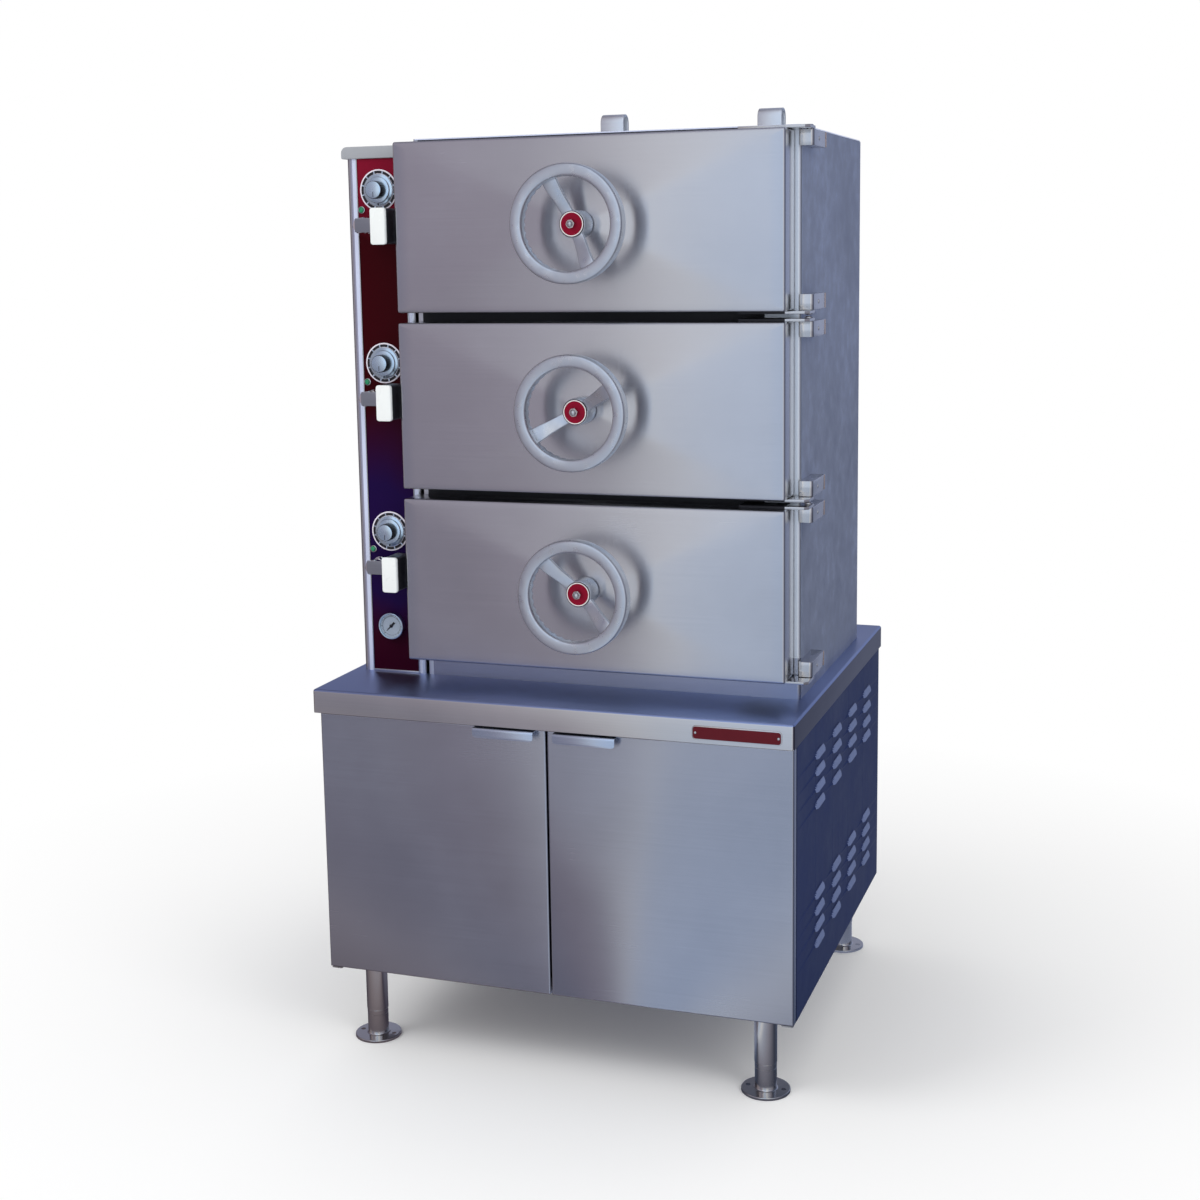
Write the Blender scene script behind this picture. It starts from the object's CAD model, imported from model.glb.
"""Looks of a three-compartment pressure steamer, built around its packed CAD model.

Metres, in the CAD's own frame.
Shapes are grids of points worked out with numpy. Rings are closed loops of points that a loft joins in order.
"""

import math

import bmesh
import bpy
import numpy as np
from bpy.props import FloatProperty, FloatVectorProperty, IntProperty, PointerProperty
from mathutils import Matrix, Vector


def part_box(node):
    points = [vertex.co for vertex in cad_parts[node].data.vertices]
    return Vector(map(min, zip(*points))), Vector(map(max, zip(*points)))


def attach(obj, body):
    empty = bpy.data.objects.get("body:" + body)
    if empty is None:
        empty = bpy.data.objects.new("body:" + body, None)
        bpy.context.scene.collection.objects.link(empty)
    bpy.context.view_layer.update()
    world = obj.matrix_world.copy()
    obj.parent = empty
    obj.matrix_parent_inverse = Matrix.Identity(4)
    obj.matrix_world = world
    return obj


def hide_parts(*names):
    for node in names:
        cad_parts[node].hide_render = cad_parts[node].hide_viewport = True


bl_info = {
    "name": "Pressure steamer",
    "version": (1, 0, 0),
    "blender": (4, 5, 0),
    "location": "View3D > Sidebar > Steamer",
    "description": "Builds the visible pieces of a pressure steamer around its CAD frame",
    "category": "Add Mesh",
}

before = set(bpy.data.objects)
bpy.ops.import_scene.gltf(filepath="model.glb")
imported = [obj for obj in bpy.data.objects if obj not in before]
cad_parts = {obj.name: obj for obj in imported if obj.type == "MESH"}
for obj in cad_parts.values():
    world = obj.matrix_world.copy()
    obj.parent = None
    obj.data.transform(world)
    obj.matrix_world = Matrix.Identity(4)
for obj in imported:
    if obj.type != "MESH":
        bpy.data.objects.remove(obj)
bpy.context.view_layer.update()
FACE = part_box("control_panel")[0].y

# Start of every finish's name, which keeps it apart from the CAD's own materials
PREFIX = "look_"
ROWS = ("bottom", "middle", "top")
SIDES = ("left", "right")
# Degrees that each wheel's spoke bar is turned about +Y from the X axis
SPOKE_TURN = {"top": 65.0, "middle": -31.0, "bottom": 45.0}
FULL_TURN = 2 * math.pi
# X and Y of the compartment doors' hinge pins
HINGE = (0.443, FACE - 0.003)
# The tongue at a compartment door's free edge, which enters the fork on the face sheet
TONGUE_FROM_EDGE = 0.014
TONGUE_WIDTH = 0.014
TONGUE_HALF_HEIGHT = 0.012
LEG_RADIUS = 0.02065
BOILER_RADIUS = 0.165
# A steam lever's arm, and the radius of the bonnet round its stem
ARM_HALF_HEIGHT = 0.013
ARM_BEFORE_STEM = 0.009
BONNET_RADIUS = 0.015
# From the panel's face to the middle of the steam pipes behind it
VALVE_DEPTH = 0.033
# X, Z and radius of the two pipes that end behind the back panel
BACK_PIPES = ((-0.2, 0.33, 0.01065), (0.06, 0.2, 0.0211))
# Radius of a turned profile's point on its axis
ON_AXIS = 0.00001
# X and Z of a lamp from its timer's centre
LAMP_FROM_TIMER = (-0.0365, -0.0355)
# CAD pieces that stay in view, and their finishes
CARRIED = {
    "base_floor": "inner_steel",
    "corner_posts": "inner_steel",
    "base_back_panel": "inner_steel",
    "housing_back": "inner_steel",
    "housing_left": "inner_steel",
    "compartment_bottom": "vessel_steel",
    "compartment_middle": "vessel_steel",
    "compartment_top": "vessel_steel",
    "steam_piping": "brass",
    "service_pipes": "brass",
}


# Settings that a user would change


def length(name, description, default):
    """A length in metres."""
    return FloatProperty(
        name=name, description=description, default=default, min=0.0, precision=4, unit="LENGTH"
    )


def share(name, description, default):
    """A number from 0 to 1."""
    return FloatProperty(
        name=name, description=description, default=default, min=0.0, max=1.0, subtype="FACTOR"
    )


def angle(name, description, degrees):
    """An angle, given in degrees."""
    return FloatProperty(name=name, description=description, default=math.radians(degrees), unit="ROTATION")


def whole(name, description, default):
    """A count of like things."""
    return IntProperty(name=name, description=description, default=default, min=1)


def colour(name, description, default):
    """A linear colour."""
    return FloatVectorProperty(
        name=name, description=description, default=default, size=3, min=0, max=1, subtype="COLOR"
    )


def number(name, description, default, low=0.0):
    """A plain number."""
    return FloatProperty(name=name, description=description, default=default, min=low)


def power(name, description, default):
    """A lamp's power."""
    return FloatProperty(name=name, description=description, default=default, min=0.0, unit="POWER")


class StageSettings(bpy.types.PropertyGroup):
    """Camera, floor and lamps."""

    camera_place: FloatVectorProperty(
        name="Camera place",
        description="Where the camera stands",
        default=(1.0995, -3.2669, 1.5024),
        unit="LENGTH",
    )
    yaw: angle("Yaw", "Turn of the view to the left of straight ahead", 19.43)
    pitch: angle("Pitch", "Tilt of the view above level", -8.84)
    roll: angle("Roll", "Turn of the view about its own axis", -0.91)
    lens: FloatProperty(
        name="Lens", description="Focal length on a 36 mm sensor", default=52.73, unit="CAMERA"
    )
    shift_x: number("Shift X", "Sideways shift, in frame widths", 0.00595, -1.0)
    shift_y: number("Shift Y", "Upward shift, in frame widths", -0.0631, -1.0)
    floor_radius: length("Floor radius", "Size of the round floor", 14.0)
    floor_colour: colour("Floor colour", "Pale floor near the object", (0.94, 0.94, 0.94))
    floor_gloss: share("Floor in gloss", "Level of the floor as metal sees it", 0.74)
    key_power: power("Key lamp", "Power of the large lamp at the left", 60.0)
    fill_power: power("Fill lamp", "Power of the large lamp at the right", 35.0)
    sky_level: number("Sky level", "Strength of the even light from all round", 0.88)


class SheetSettings(bpy.types.PropertyGroup):
    """Folded sheet metal of the doors, deck and housing."""

    wall: length("Sheet", "Thickness of the folded sheets", 0.002)
    door_bend: length("Door bend", "Outer radius of a compartment door's folded edges", 0.0045)
    door_corner: length("Door corner", "Radius of a compartment door's corners seen from the front", 0.004)
    crown: length("Crown", "How far a door's middle stands out", 0.008)
    crease: number("Crease", "Power that sharpens the crown's diagonal creases", 11.0, 2.0)
    door_return: length("Door return", "Width of the flange turned in at a door's rear edge", 0.011)
    door_proud: length("Door proud", "How far a door's face stands before the housing", 0.075)
    beam_gap: length("Beam gap", "From a door's face to the beam behind it", 0.003)
    beam_depth: length("Beam depth", "Depth of the beam", 0.024)
    beam_height: length("Beam height", "Height of the beam", 0.070)
    column_bend: length("Column bend", "Outer radius of the column's front corners", 0.006)
    boss_hole: length("Boss hole", "Radius of the hole round the spindle boss", 0.0225)
    base_bend: length("Base door bend", "Outer radius of the base doors' folded edges", 0.003)
    deck_bend: length("Deck bend", "Outer radius of the deck's folded edges", 0.005)
    post_bend: length("Post bend", "Outer radius of the housing's front corners", 0.0065)
    hem: length("Hem", "Height of the rounded edge round the housing's top", 0.003)


class WheelSettings(bpy.types.PropertyGroup):
    """Handwheels and spindles."""

    rim_width: length("Rim width", "Radial width of the rim", 0.022)
    rim_depth: length("Rim depth", "Depth of the rim along the spindle", 0.027)
    squareness: number("Squareness", "Exponent of the rim's section", 5.5, 2.0)
    scallops: whole("Scallops", "Finger scallops on the inner rear edge of the rim", 36)
    scallop_depth: length("Scallop depth", "How deep a scallop goes", 0.0026)
    spoke_width: length("Spoke width", "Width of the two-armed bar", 0.024)
    spoke_thickness: length("Spoke thickness", "Thickness of the bar", 0.008)
    hub_radius: length("Hub radius", "Radius of the hub", 0.024)
    dish: length("Dish", "How far the hub stands behind the rim's front", 0.038)
    badge_radius: length("Badge radius", "Radius of the round badge on the hub", 0.0225)
    badge_depth: length("Badge depth", "Thickness of the badge", 0.003)
    nut_width: length("Nut width", "Acorn nut across its flats", 0.014)
    nut_height: length("Nut height", "Height of the nut's hexagon", 0.008)
    spindle_radius: length("Spindle radius", "Outer radius of the spindle's thread", 0.01)
    thread_pitch: length("Thread pitch", "Advance of the spindle in one turn", 0.006)
    thread_depth: length("Thread depth", "Depth of the thread", 0.0016)


class ControlSettings(bpy.types.PropertyGroup):
    """Timers, lamps, levers and the gauge on the column."""

    dial_radius: length("Dial radius", "Outer radius of a timer's printed dial", 0.038)
    skirt_radius: length("Skirt radius", "Radius of a knob's skirt", 0.0295)
    knob_radius: length("Knob radius", "Radius of a knob's grip", 0.0165)
    ticks: whole("Ticks", "Marks round a timer's dial", 12)
    gauge_ticks: whole("Gauge ticks", "Marks round the gauge's dial", 31)
    lamp_radius: length("Lamp radius", "Outer radius of a lamp's bezel", 0.007)
    grip_corner: length("Grip corner", "Corner radius of a lever's grip", 0.005)
    grip_front: length("Grip front", "Depth of the grip's light front shell", 0.009)
    arm_corner: length("Arm corner", "Corner radius of a lever's arm", 0.003)


class LouvreSettings(bpy.types.PropertyGroup):
    """Pressed louvres of the base's side panels."""

    length: length("Length", "Length of a louvre", 0.074)
    height: length("Height", "Height of a louvre", 0.0136)
    reach: length("Reach", "How far a louvre stands out", 0.006)
    columns: whole("Columns", "Louvres side by side", 4)
    rows: whole("Rows", "Louvres one above the other in each of the two groups", 4)
    column_pitch: length("Column pitch", "Distance between columns", 0.152)
    row_pitch: length("Row pitch", "Distance between rows", 0.031)
    from_front: length("From the front", "From the deck's front edge to the first column's middle", 0.225)
    upper_drop: length("Upper drop", "From the deck's top to the upper group's first row", 0.107)
    lower_drop: length("Lower drop", "From the deck's top to the lower group's first row", 0.371)


class FinishSettings(bpy.types.PropertyGroup):
    """Colours of the finishes."""

    door: colour("Doors", "Brushed steel of the compartment doors", (0.66, 0.66, 0.68))
    base: colour("Base doors", "Brushed steel of the base doors", (0.48, 0.49, 0.54))
    deck: colour("Deck", "Brushed steel of the deck", (0.36, 0.44, 0.70))
    housing: colour("Housing", "Rolled steel of the housing's sides", (0.54, 0.58, 0.68))
    side: colour("Base sides", "Dark paint of the base's side panels", (0.010, 0.021, 0.088))
    wheel: colour("Wheels", "Polished cast aluminium", (0.70, 0.72, 0.75))
    apron: colour("Apron", "Brushed steel of the deck's turned-down edge", (0.74, 0.72, 0.70))
    trim: colour("Trim", "Light satin strips beside the control panel", (0.58, 0.63, 0.82))
    bright: colour("Bright steel", "Polished steel of legs and levers", (0.70, 0.68, 0.66))
    cap: colour("Cap", "Light paint of the column's cap", (0.345, 0.36, 0.39))
    panel_top: colour("Panel top", "Deep red at the column's top", (0.17, 0.005, 0.020))
    panel_middle: colour("Panel middle", "Darkest red of the column", (0.034, 0.001, 0.003))
    panel_low: colour("Panel low", "Purple tone low on the column", (0.012, 0.003, 0.048))
    panel_foot: colour("Panel foot", "Red at the column's foot", (0.031, 0.001, 0.010))
    badge: colour("Badge", "Red of the wheels' badges", (0.24, 0.003, 0.022))
    plate: colour("Plate", "Dark red of the blank nameplate", (0.088, 0.008, 0.014))
    louvre: colour("Louvres", "Lighter tone of the pressed louvres", (0.11, 0.145, 0.29))
    grip: colour("Grip", "White of the lever grips", (0.80, 0.83, 0.83))
    black: colour("Black", "Black plastic", (0.012, 0.012, 0.016))
    lamp: colour("Lamp", "Green lens", (0.010, 0.24, 0.10))
    dial: colour("Gauge dial", "Pale dial of the gauge", (0.72, 0.77, 0.82))
    boiler: colour("Boiler", "Grey paint of the boiler", (0.22, 0.24, 0.26))
    brass: colour("Brass", "Pipes and valves", (0.60, 0.42, 0.16))
    rubber: colour("Rubber", "Door gaskets", (0.035, 0.035, 0.037))
    wool: colour("Wool", "Mineral wool", (0.46, 0.40, 0.24))


SETTINGS = (
    ("steamer_stage", StageSettings),
    ("steamer_sheet", SheetSettings),
    ("steamer_wheel", WheelSettings),
    ("steamer_control", ControlSettings),
    ("steamer_louvre", LouvreSettings),
    ("steamer_finish", FinishSettings),
)


# Grids, outlines and lofts


def grid_faces(rows, columns, wrap_rows=False, wrap_columns=True):
    """Quads between neighbouring points of a grid of rows and columns, joined round where it wraps."""
    r = np.arange(rows if wrap_rows else rows - 1)
    c = np.arange(columns if wrap_columns else columns - 1)
    r, c = np.meshgrid(r, c, indexing="ij")
    below, beside = (r + 1) % rows, (c + 1) % columns
    quads = [r * columns + c, r * columns + beside, below * columns + beside, below * columns + c]
    return np.stack(quads, -1).reshape(-1, 4)


class Form:
    """Points and faces gathered from several surfaces, with a material number for each face."""

    def __init__(self):
        self.points, self.faces, self.finish, self.count = [], [], [], 0

    def add(self, points, faces, finish=0):
        """Adds one surface."""
        points = np.asarray(points, float).reshape(-1, 3)
        moved = [tuple(np.asarray(face) + self.count) for face in faces]
        self.points.append(points)
        self.faces.extend(moved)
        self.finish.extend([finish] * len(moved))
        self.count += len(points)
        return self

    def loft(self, rings, wrap=False, finish=0):
        """Joins closed loops of points in order. The two ends get flat caps, or are joined where it wraps."""
        rings = np.asarray(rings, float)
        rows, columns = rings.shape[:2]
        faces = list(grid_faces(rows, columns, wrap_rows=wrap))
        if not wrap:
            faces += [np.arange(columns)[::-1], (rows - 1) * columns + np.arange(columns)]
        return self.add(rings, faces, finish)

    def sheet(self, grid, keep=None):
        """Adds an open grid of points. keep says which of its quads exist."""
        faces = grid_faces(*grid.shape[:2], wrap_columns=False)
        if keep is not None:
            faces = faces[np.asarray(keep).reshape(-1)]
        return self.add(grid, list(faces))

    def paint(self, finish):
        """Sets the finishes of the first faces. Later ones, such as caps, keep theirs."""
        numbers = np.asarray(finish).astype(int).reshape(-1).tolist()
        self.finish[: len(numbers)] = numbers


def lift(axis, flat, along):
    """Points in space from flat ones, which hold the other two coordinates in X, Y, Z order."""
    flat = np.asarray(flat, float)
    along = np.broadcast_to(np.asarray(along, float), flat.shape[:-1])
    order = {"x": (along, flat[..., 0], flat[..., 1]), "y": (flat[..., 0], along, flat[..., 1])}
    return np.stack(order.get(axis, (flat[..., 0], flat[..., 1], along)), -1)


def rectangle(half_u, half_v, corner, inset=0.0, steps=5):
    """Rounded rectangle round the origin: four quarter circles, which straight sides join."""
    radius = max(corner - inset, 0.00002)
    turns = np.radians(np.arange(4)[:, None] * 90 + np.linspace(0, 90, steps))
    signs = np.array([[1, 1], [-1, 1], [-1, -1], [1, -1]])
    centres = signs * np.array([half_u - inset - radius, half_v - inset - radius])
    return (centres[:, None] + radius * np.stack([np.cos(turns), np.sin(turns)], -1)).reshape(-1, 2)


def resample(loop, corner_steps, side_steps):
    """Adds evenly spaced points on the straight sides of a rounded rectangle."""
    inner = np.arange(corner_steps - 1, dtype=float)
    side = corner_steps - 1 + np.arange(side_steps) / side_steps
    at = np.concatenate([corner * corner_steps + np.concatenate([inner, side]) for corner in range(4)])
    first = np.floor(at).astype(int)
    part = (at - first)[:, None]
    return loop[first % len(loop)] * (1 - part) + loop[(first + 1) % len(loop)] * part


def offset_loop(loop, inset):
    """Loop moved inwards: each corner goes along the mean of its two sides' inward normals."""
    before, after = loop - np.roll(loop, 1, 0), np.roll(loop, -1, 0) - loop
    before = before / np.maximum(np.linalg.norm(before, axis=1, keepdims=True), 1e-12)
    after = after / np.maximum(np.linalg.norm(after, axis=1, keepdims=True), 1e-12)
    area = np.sum(loop[:, 0] * np.roll(loop[:, 1], -1) - loop[:, 1] * np.roll(loop[:, 0], -1))
    side = 1.0 if area > 0 else -1.0
    normals = side * np.stack([-(before + after)[:, 1], (before + after)[:, 0]], -1)
    spread = np.maximum(1 + np.sum(before * after, axis=1, keepdims=True), 0.2)
    return loop + inset * normals / spread


def edge_rings(low, high, edge, steps=4):
    """Insets and places of the rings that round both edges of a slab: quarter circles of radius edge."""
    low, high = min(low, high), max(low, high)
    turn = np.linspace(0, math.pi / 2, steps)
    inset = edge * (1 - np.sin(turn))
    rise = edge * (1 - np.cos(turn))
    return np.concatenate([inset, inset[::-1]]), np.concatenate([low + rise, high - rise[::-1]])


def slab(form, axis, centre, half, corner, span, edge=0.0008, finish=0):
    """Rounded rectangle carried along an axis, with both its edges rounded."""
    rings = [lift(axis, rectangle(*half, corner, i) + centre, p) for i, p in zip(*edge_rings(*span, edge))]
    return form.loft(rings, finish=finish)


def block(form, low, high, corner=0.001, edge=0.001, axis="z", finish=0):
    """Box with rounded corners and edges between two points in space."""
    low, high = np.asarray(low, float), np.asarray(high, float)
    along = "xyz".index(axis)
    others = [i for i in range(3) if i != along]
    centre = (low[others] + high[others]) / 2
    half = (high[others] - low[others]) / 2
    return slab(form, axis, centre, half, corner, (low[along], high[along]), edge, finish)


def plate(form, axis, loop, span, edge=0.0006, finish=0):
    """Any outline carried along an axis, with both its edges rounded."""
    rings = [lift(axis, offset_loop(loop, i), p) for i, p in zip(*edge_rings(*span, edge))]
    return form.loft(rings, finish=finish)


def turned(form, axis, centre, profile, steps=64, finish=0, wrap=False):
    """Profile of radius and place along the axis, turned once round it."""
    profile = np.asarray(profile, float)
    turn = np.arange(steps) * FULL_TURN / steps
    circle = np.stack([np.cos(turn), np.sin(turn)], -1)
    flat = profile[:, None, :1] * circle + np.asarray(centre, float)
    return form.loft(lift(axis, flat, profile[:, 1:2]), wrap, finish)


def rod_profile(radius, start, end, edge):
    """Profile of a round bar with both its ends rounded over."""
    insets, places = edge_rings(min(start, end), max(start, end), edge)
    return np.stack([radius - insets, places], -1)


def rod(form, axis, centre, radius, start, end, edge=0.0005, steps=48, finish=0):
    """Round bar with rounded ends."""
    return turned(form, axis, centre, rod_profile(radius, start, end, edge), steps, finish=finish)


def band(inner, outer, rear, front):
    """Profile of a flat ring, from its inner rear edge round the front to its outer rear edge."""
    return [(inner, rear), (inner, front), (outer, front), (outer, rear)]


def bend_profile(rho, bend, turn):
    """Insets and depths of a quarter-circle bend from the face to the wall."""
    return np.stack([bend - rho * np.sin(turn), bend - rho * np.cos(turn)], -1)


def folded(depth, bend, wall, flange):
    """Insets and depths of a pan whose walls turn in at the rear: outer skin to the flange, then inner skin
    back."""
    turn = np.linspace(0, math.pi / 2, 6)
    skins = []
    for rho, order in ((bend, 1), (bend - wall, -1)):
        near = bend_profile(rho, bend, turn)
        far = np.stack([bend - rho * np.cos(turn), depth - bend + rho * np.sin(turn)], -1)
        skins.append(np.concatenate([near, far, [[flange, depth - bend + rho]]])[::order])
    return np.concatenate(skins)


def hemmed(depth, bend, wall):
    """Insets and depths of a pan whose walls end in a rounded edge: outer skin down, round the edge, and
    back."""
    turn = np.linspace(0, math.pi / 2, 6)
    rim = np.linspace(0, math.pi, 7)
    edge = np.stack([wall / 2 - wall / 2 * np.cos(rim), depth - wall / 2 + wall / 2 * np.sin(rim)], -1)
    return np.concatenate([bend_profile(bend, bend, turn), edge, bend_profile(bend - wall, bend, turn)[::-1]])


def pan_rings(half, corner, profile, side_steps=1, corner_steps=6):
    """Rings of a folded pan as (u, v, depth): the outline drawn in by each inset of the profile, at its
    depth."""
    rings = []
    for inset, depth in profile:
        loop = rectangle(*half, corner, inset, corner_steps)
        rings.append(lift("z", resample(loop, corner_steps, side_steps), depth))
    return np.array(rings)


def quad_middles(rings):
    """Middles of the quads that a loft makes between its closed rings."""
    rows = (rings[:-1] + rings[1:]) / 2
    return (rows + np.roll(rows, -1, axis=1)) / 2


def facing_front(points, centre, face):
    """(u, v, depth) to space for a pan whose face looks along -Y."""
    return np.stack([centre[0] + points[..., 0], face + points[..., 2], centre[1] + points[..., 1]], -1)


def facing_up(points, centre, face):
    """(u, v, depth) to space for a pan whose face looks up."""
    return np.stack([centre[0] + points[..., 0], centre[1] + points[..., 1], face - points[..., 2]], -1)


def smooth_step(t):
    """Rises from 0 to 1 with level ends: 3 t squared less 2 t cubed."""
    t = np.clip(t, 0, 1)
    return t * t * (3 - 2 * t)


def box_of(node):
    """Lowest and highest corner of a CAD node as arrays."""
    low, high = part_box(node)
    return np.array(low), np.array(high)


def front_view(node):
    """Middle and half size of a CAD node in X and Z."""
    low, high = box_of(node)
    return ((low + high) / 2)[[0, 2]], ((high - low) / 2)[[0, 2]]


def lever_stem(row):
    """X and Z of a steam lever's stem."""
    low, high = box_of(f"steam_lever_{row}")
    return low[0] + BONNET_RADIUS, (low[2] + high[2]) / 2


def plain_object(name, form, finishes=(), outward=None, smooth=38.0, holes=()):
    """Object at the origin from a form. A closed form gets its normals from outside, and an open sheet is
    turned towards the outward direction. Holes are round bores, each an axis, a centre, a radius and two
    ends."""
    mesh = bpy.data.meshes.new(name)
    mesh.from_pydata(np.concatenate(form.points).tolist(), [], [list(map(int, face)) for face in form.faces])
    mesh.polygons.foreach_set("material_index", np.array(form.finish, np.int32))
    for finish in finishes:
        mesh.materials.append(bpy.data.materials[PREFIX + finish])
    clean(mesh, outward)
    if holes:
        mesh = drilled(mesh, holes)
        mesh.name = name
    round_over(mesh, smooth)
    piece = bpy.data.objects.new(name, mesh)
    bpy.context.scene.collection.objects.link(piece)
    return piece


def clean(mesh, outward):
    """Merges doubled points, drops faces without area and turns the faces outwards."""
    built = bmesh.new()
    built.from_mesh(mesh)
    bmesh.ops.remove_doubles(built, verts=built.verts, dist=1e-6)
    bmesh.ops.dissolve_degenerate(built, edges=built.edges, dist=1e-7)
    if outward is None:
        bmesh.ops.recalc_face_normals(built, faces=built.faces)
    else:
        total = sum((face.normal * face.calc_area() for face in built.faces), Vector())
        if total.dot(Vector(outward)) < 0:
            bmesh.ops.reverse_faces(built, faces=built.faces)
    built.to_mesh(mesh)
    built.free()


def round_over(mesh, limit):
    """Shades faces smoothly across edges that turn by less than the limit in degrees."""
    built = bmesh.new()
    built.from_mesh(mesh)
    for edge in built.edges:
        edge.smooth = len(edge.link_faces) == 2 and edge.calc_face_angle(0.0) < math.radians(limit)
    for face in built.faces:
        face.smooth = True
    built.to_mesh(mesh)
    built.free()


def drilled(mesh, holes):
    """Mesh with round holes cut through it."""
    form = Form()
    for axis, centre, radius, ends in holes:
        turned(form, axis, centre, [(radius, ends[0]), (radius, ends[1])], 32)
    cutter = plain_object("cutter", form)
    blank = bpy.data.objects.new("blank", mesh)
    bpy.context.scene.collection.objects.link(blank)
    tool = blank.modifiers.new("Holes", "BOOLEAN")
    tool.operation = "DIFFERENCE"
    tool.solver = "EXACT"
    tool.object = cutter
    bpy.context.view_layer.update()
    result = bpy.data.meshes.new_from_object(blank.evaluated_get(bpy.context.evaluated_depsgraph_get()))
    for helper in (blank, cutter):
        old = helper.data
        bpy.data.objects.remove(helper)
        bpy.data.meshes.remove(old)
    return result


def make_piece(name, form, finishes, body, slot=None, nodes=(), outward=None, smooth=38.0, holes=()):
    """Object from a form that rides on a body, takes a slot's finish and stands for CAD nodes."""
    finishes = finishes if isinstance(finishes, (list, tuple)) else [finishes]
    piece = plain_object(name, form, finishes, outward, smooth, holes)
    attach(piece, body)
    if len(nodes):
        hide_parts(*nodes)
    return piece


def thicken(piece, thickness):
    """Gives an open sheet its thickness on the side that its normals point away from."""
    solid = piece.modifiers.new("Sheet", "SOLIDIFY")
    solid.thickness = thickness
    solid.offset = -1.0
    return piece


# Finishes


class Nodes:
    """A node material while it is built."""

    def __init__(self, name):
        self.material = bpy.data.materials.new(PREFIX + name)
        self.material.use_nodes = True
        self.tree = self.material.node_tree
        self.tree.nodes.clear()
        self.shader = self.tree.nodes.new("ShaderNodeBsdfPrincipled")
        output = self.tree.nodes.new("ShaderNodeOutputMaterial")
        self.link(self.shader.outputs["BSDF"], output.inputs["Surface"])
        self.coordinates = self.tree.nodes.new("ShaderNodeTexCoord").outputs["Object"]

    def link(self, source, target):
        """Joins two sockets."""
        self.tree.links.new(source, target)

    def set(self, **values):
        """Sets the shader's own sockets. An underscore in a name stands for a space."""
        for name, value in values.items():
            self.shader.inputs[name.replace("_", " ")].default_value = value
        return self

    def noise(self, scale, detail=3.0, roughness=0.5, stretch=(1, 1, 1)):
        """Noise in stretched object coordinates, with values from about 0.3 to 0.7."""
        mapping = self.tree.nodes.new("ShaderNodeMapping")
        mapping.inputs["Scale"].default_value = stretch
        self.link(self.coordinates, mapping.inputs["Vector"])
        node = self.tree.nodes.new("ShaderNodeTexNoise")
        node.inputs["Scale"].default_value = scale
        node.inputs["Detail"].default_value = detail
        node.inputs["Roughness"].default_value = roughness
        self.link(mapping.outputs["Vector"], node.inputs["Vector"])
        return node.outputs["Fac"]

    def between(self, value, low, high, start=0.3, end=0.7):
        """Maps a value's range start to end onto low to high."""
        node = self.tree.nodes.new("ShaderNodeMapRange")
        for name, number in (("From Min", start), ("From Max", end), ("To Min", low), ("To Max", high)):
            node.inputs[name].default_value = number
        self.link(value, node.inputs["Value"])
        return node.outputs["Result"]

    def sum(self, first, second, operation="ADD"):
        """Joins two values with a sum, product or other operation."""
        return math_node(self.tree, operation, first, second)

    def colour(self, value, stops):
        """Base colour for a value: stops are places and colours."""
        self.link(ramp_node(self.tree, value, stops), self.shader.inputs["Base Color"])

    def roughness(self, value, low, high):
        """Roughness from low to high as a noise value rises."""
        self.link(self.between(value, low, high), self.shader.inputs["Roughness"])

    def axis(self, name):
        """One coordinate of the object."""
        node = self.tree.nodes.new("ShaderNodeSeparateXYZ")
        self.link(self.coordinates, node.inputs["Vector"])
        return node.outputs[name]

    def bump(self, height, distance, strength=1.0):
        """Small relief from a height."""
        node = self.tree.nodes.new("ShaderNodeBump")
        node.inputs["Distance"].default_value = distance
        node.inputs["Strength"].default_value = strength
        self.link(height, node.inputs["Height"])
        self.link(node.outputs["Normal"], self.shader.inputs["Normal"])
        return self


def shade(base, factor, tint=(1.0, 1.0, 1.0)):
    """A colour made lighter or darker and tinted."""
    return tuple(min(1.0, c * factor * t) for c, t in zip(base, tint))


def brushed(name, base, roughness, anisotropy=0.8, grain=(3, 3, 900), relief=0.00003):
    """Brushed metal: fine noise stretched along the grain varies colour, gloss and relief; slow noise clouds
    it."""
    nodes = Nodes(name)
    clouds = nodes.noise(3.2, 4.0, 0.55)
    streaks = nodes.noise(1.0, 4.0, 0.6, grain)
    mixed = nodes.sum(nodes.sum(clouds, 0.72, "MULTIPLY"), nodes.sum(streaks, 0.28, "MULTIPLY"))
    stops = [(0.30, shade(base, 0.9)), (0.52, base), (0.72, shade(base, 1.1))]
    nodes.colour(mixed, stops)
    nodes.roughness(mixed, roughness * 0.85, roughness * 1.18)
    nodes.bump(streaks, relief, 0.35)
    return nodes.set(Metallic=1.0, Anisotropic=anisotropy, Anisotropic_Rotation=0.25).material


def polished(name, base, roughness=0.14, cloud=0.06, speck=90.0):
    """Polished metal with faint handling marks that vary its gloss."""
    nodes = Nodes(name)
    marks = nodes.noise(speck, 5.0, 0.6)
    slow = nodes.noise(12.0, 2.0)
    nodes.colour(slow, [(0.3, shade(base, 1 - cloud)), (0.7, base)])
    nodes.roughness(marks, roughness * 0.7, roughness * 1.4)
    nodes.bump(marks, 0.00002, 0.2)
    return nodes.set(Metallic=1.0).material


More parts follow.
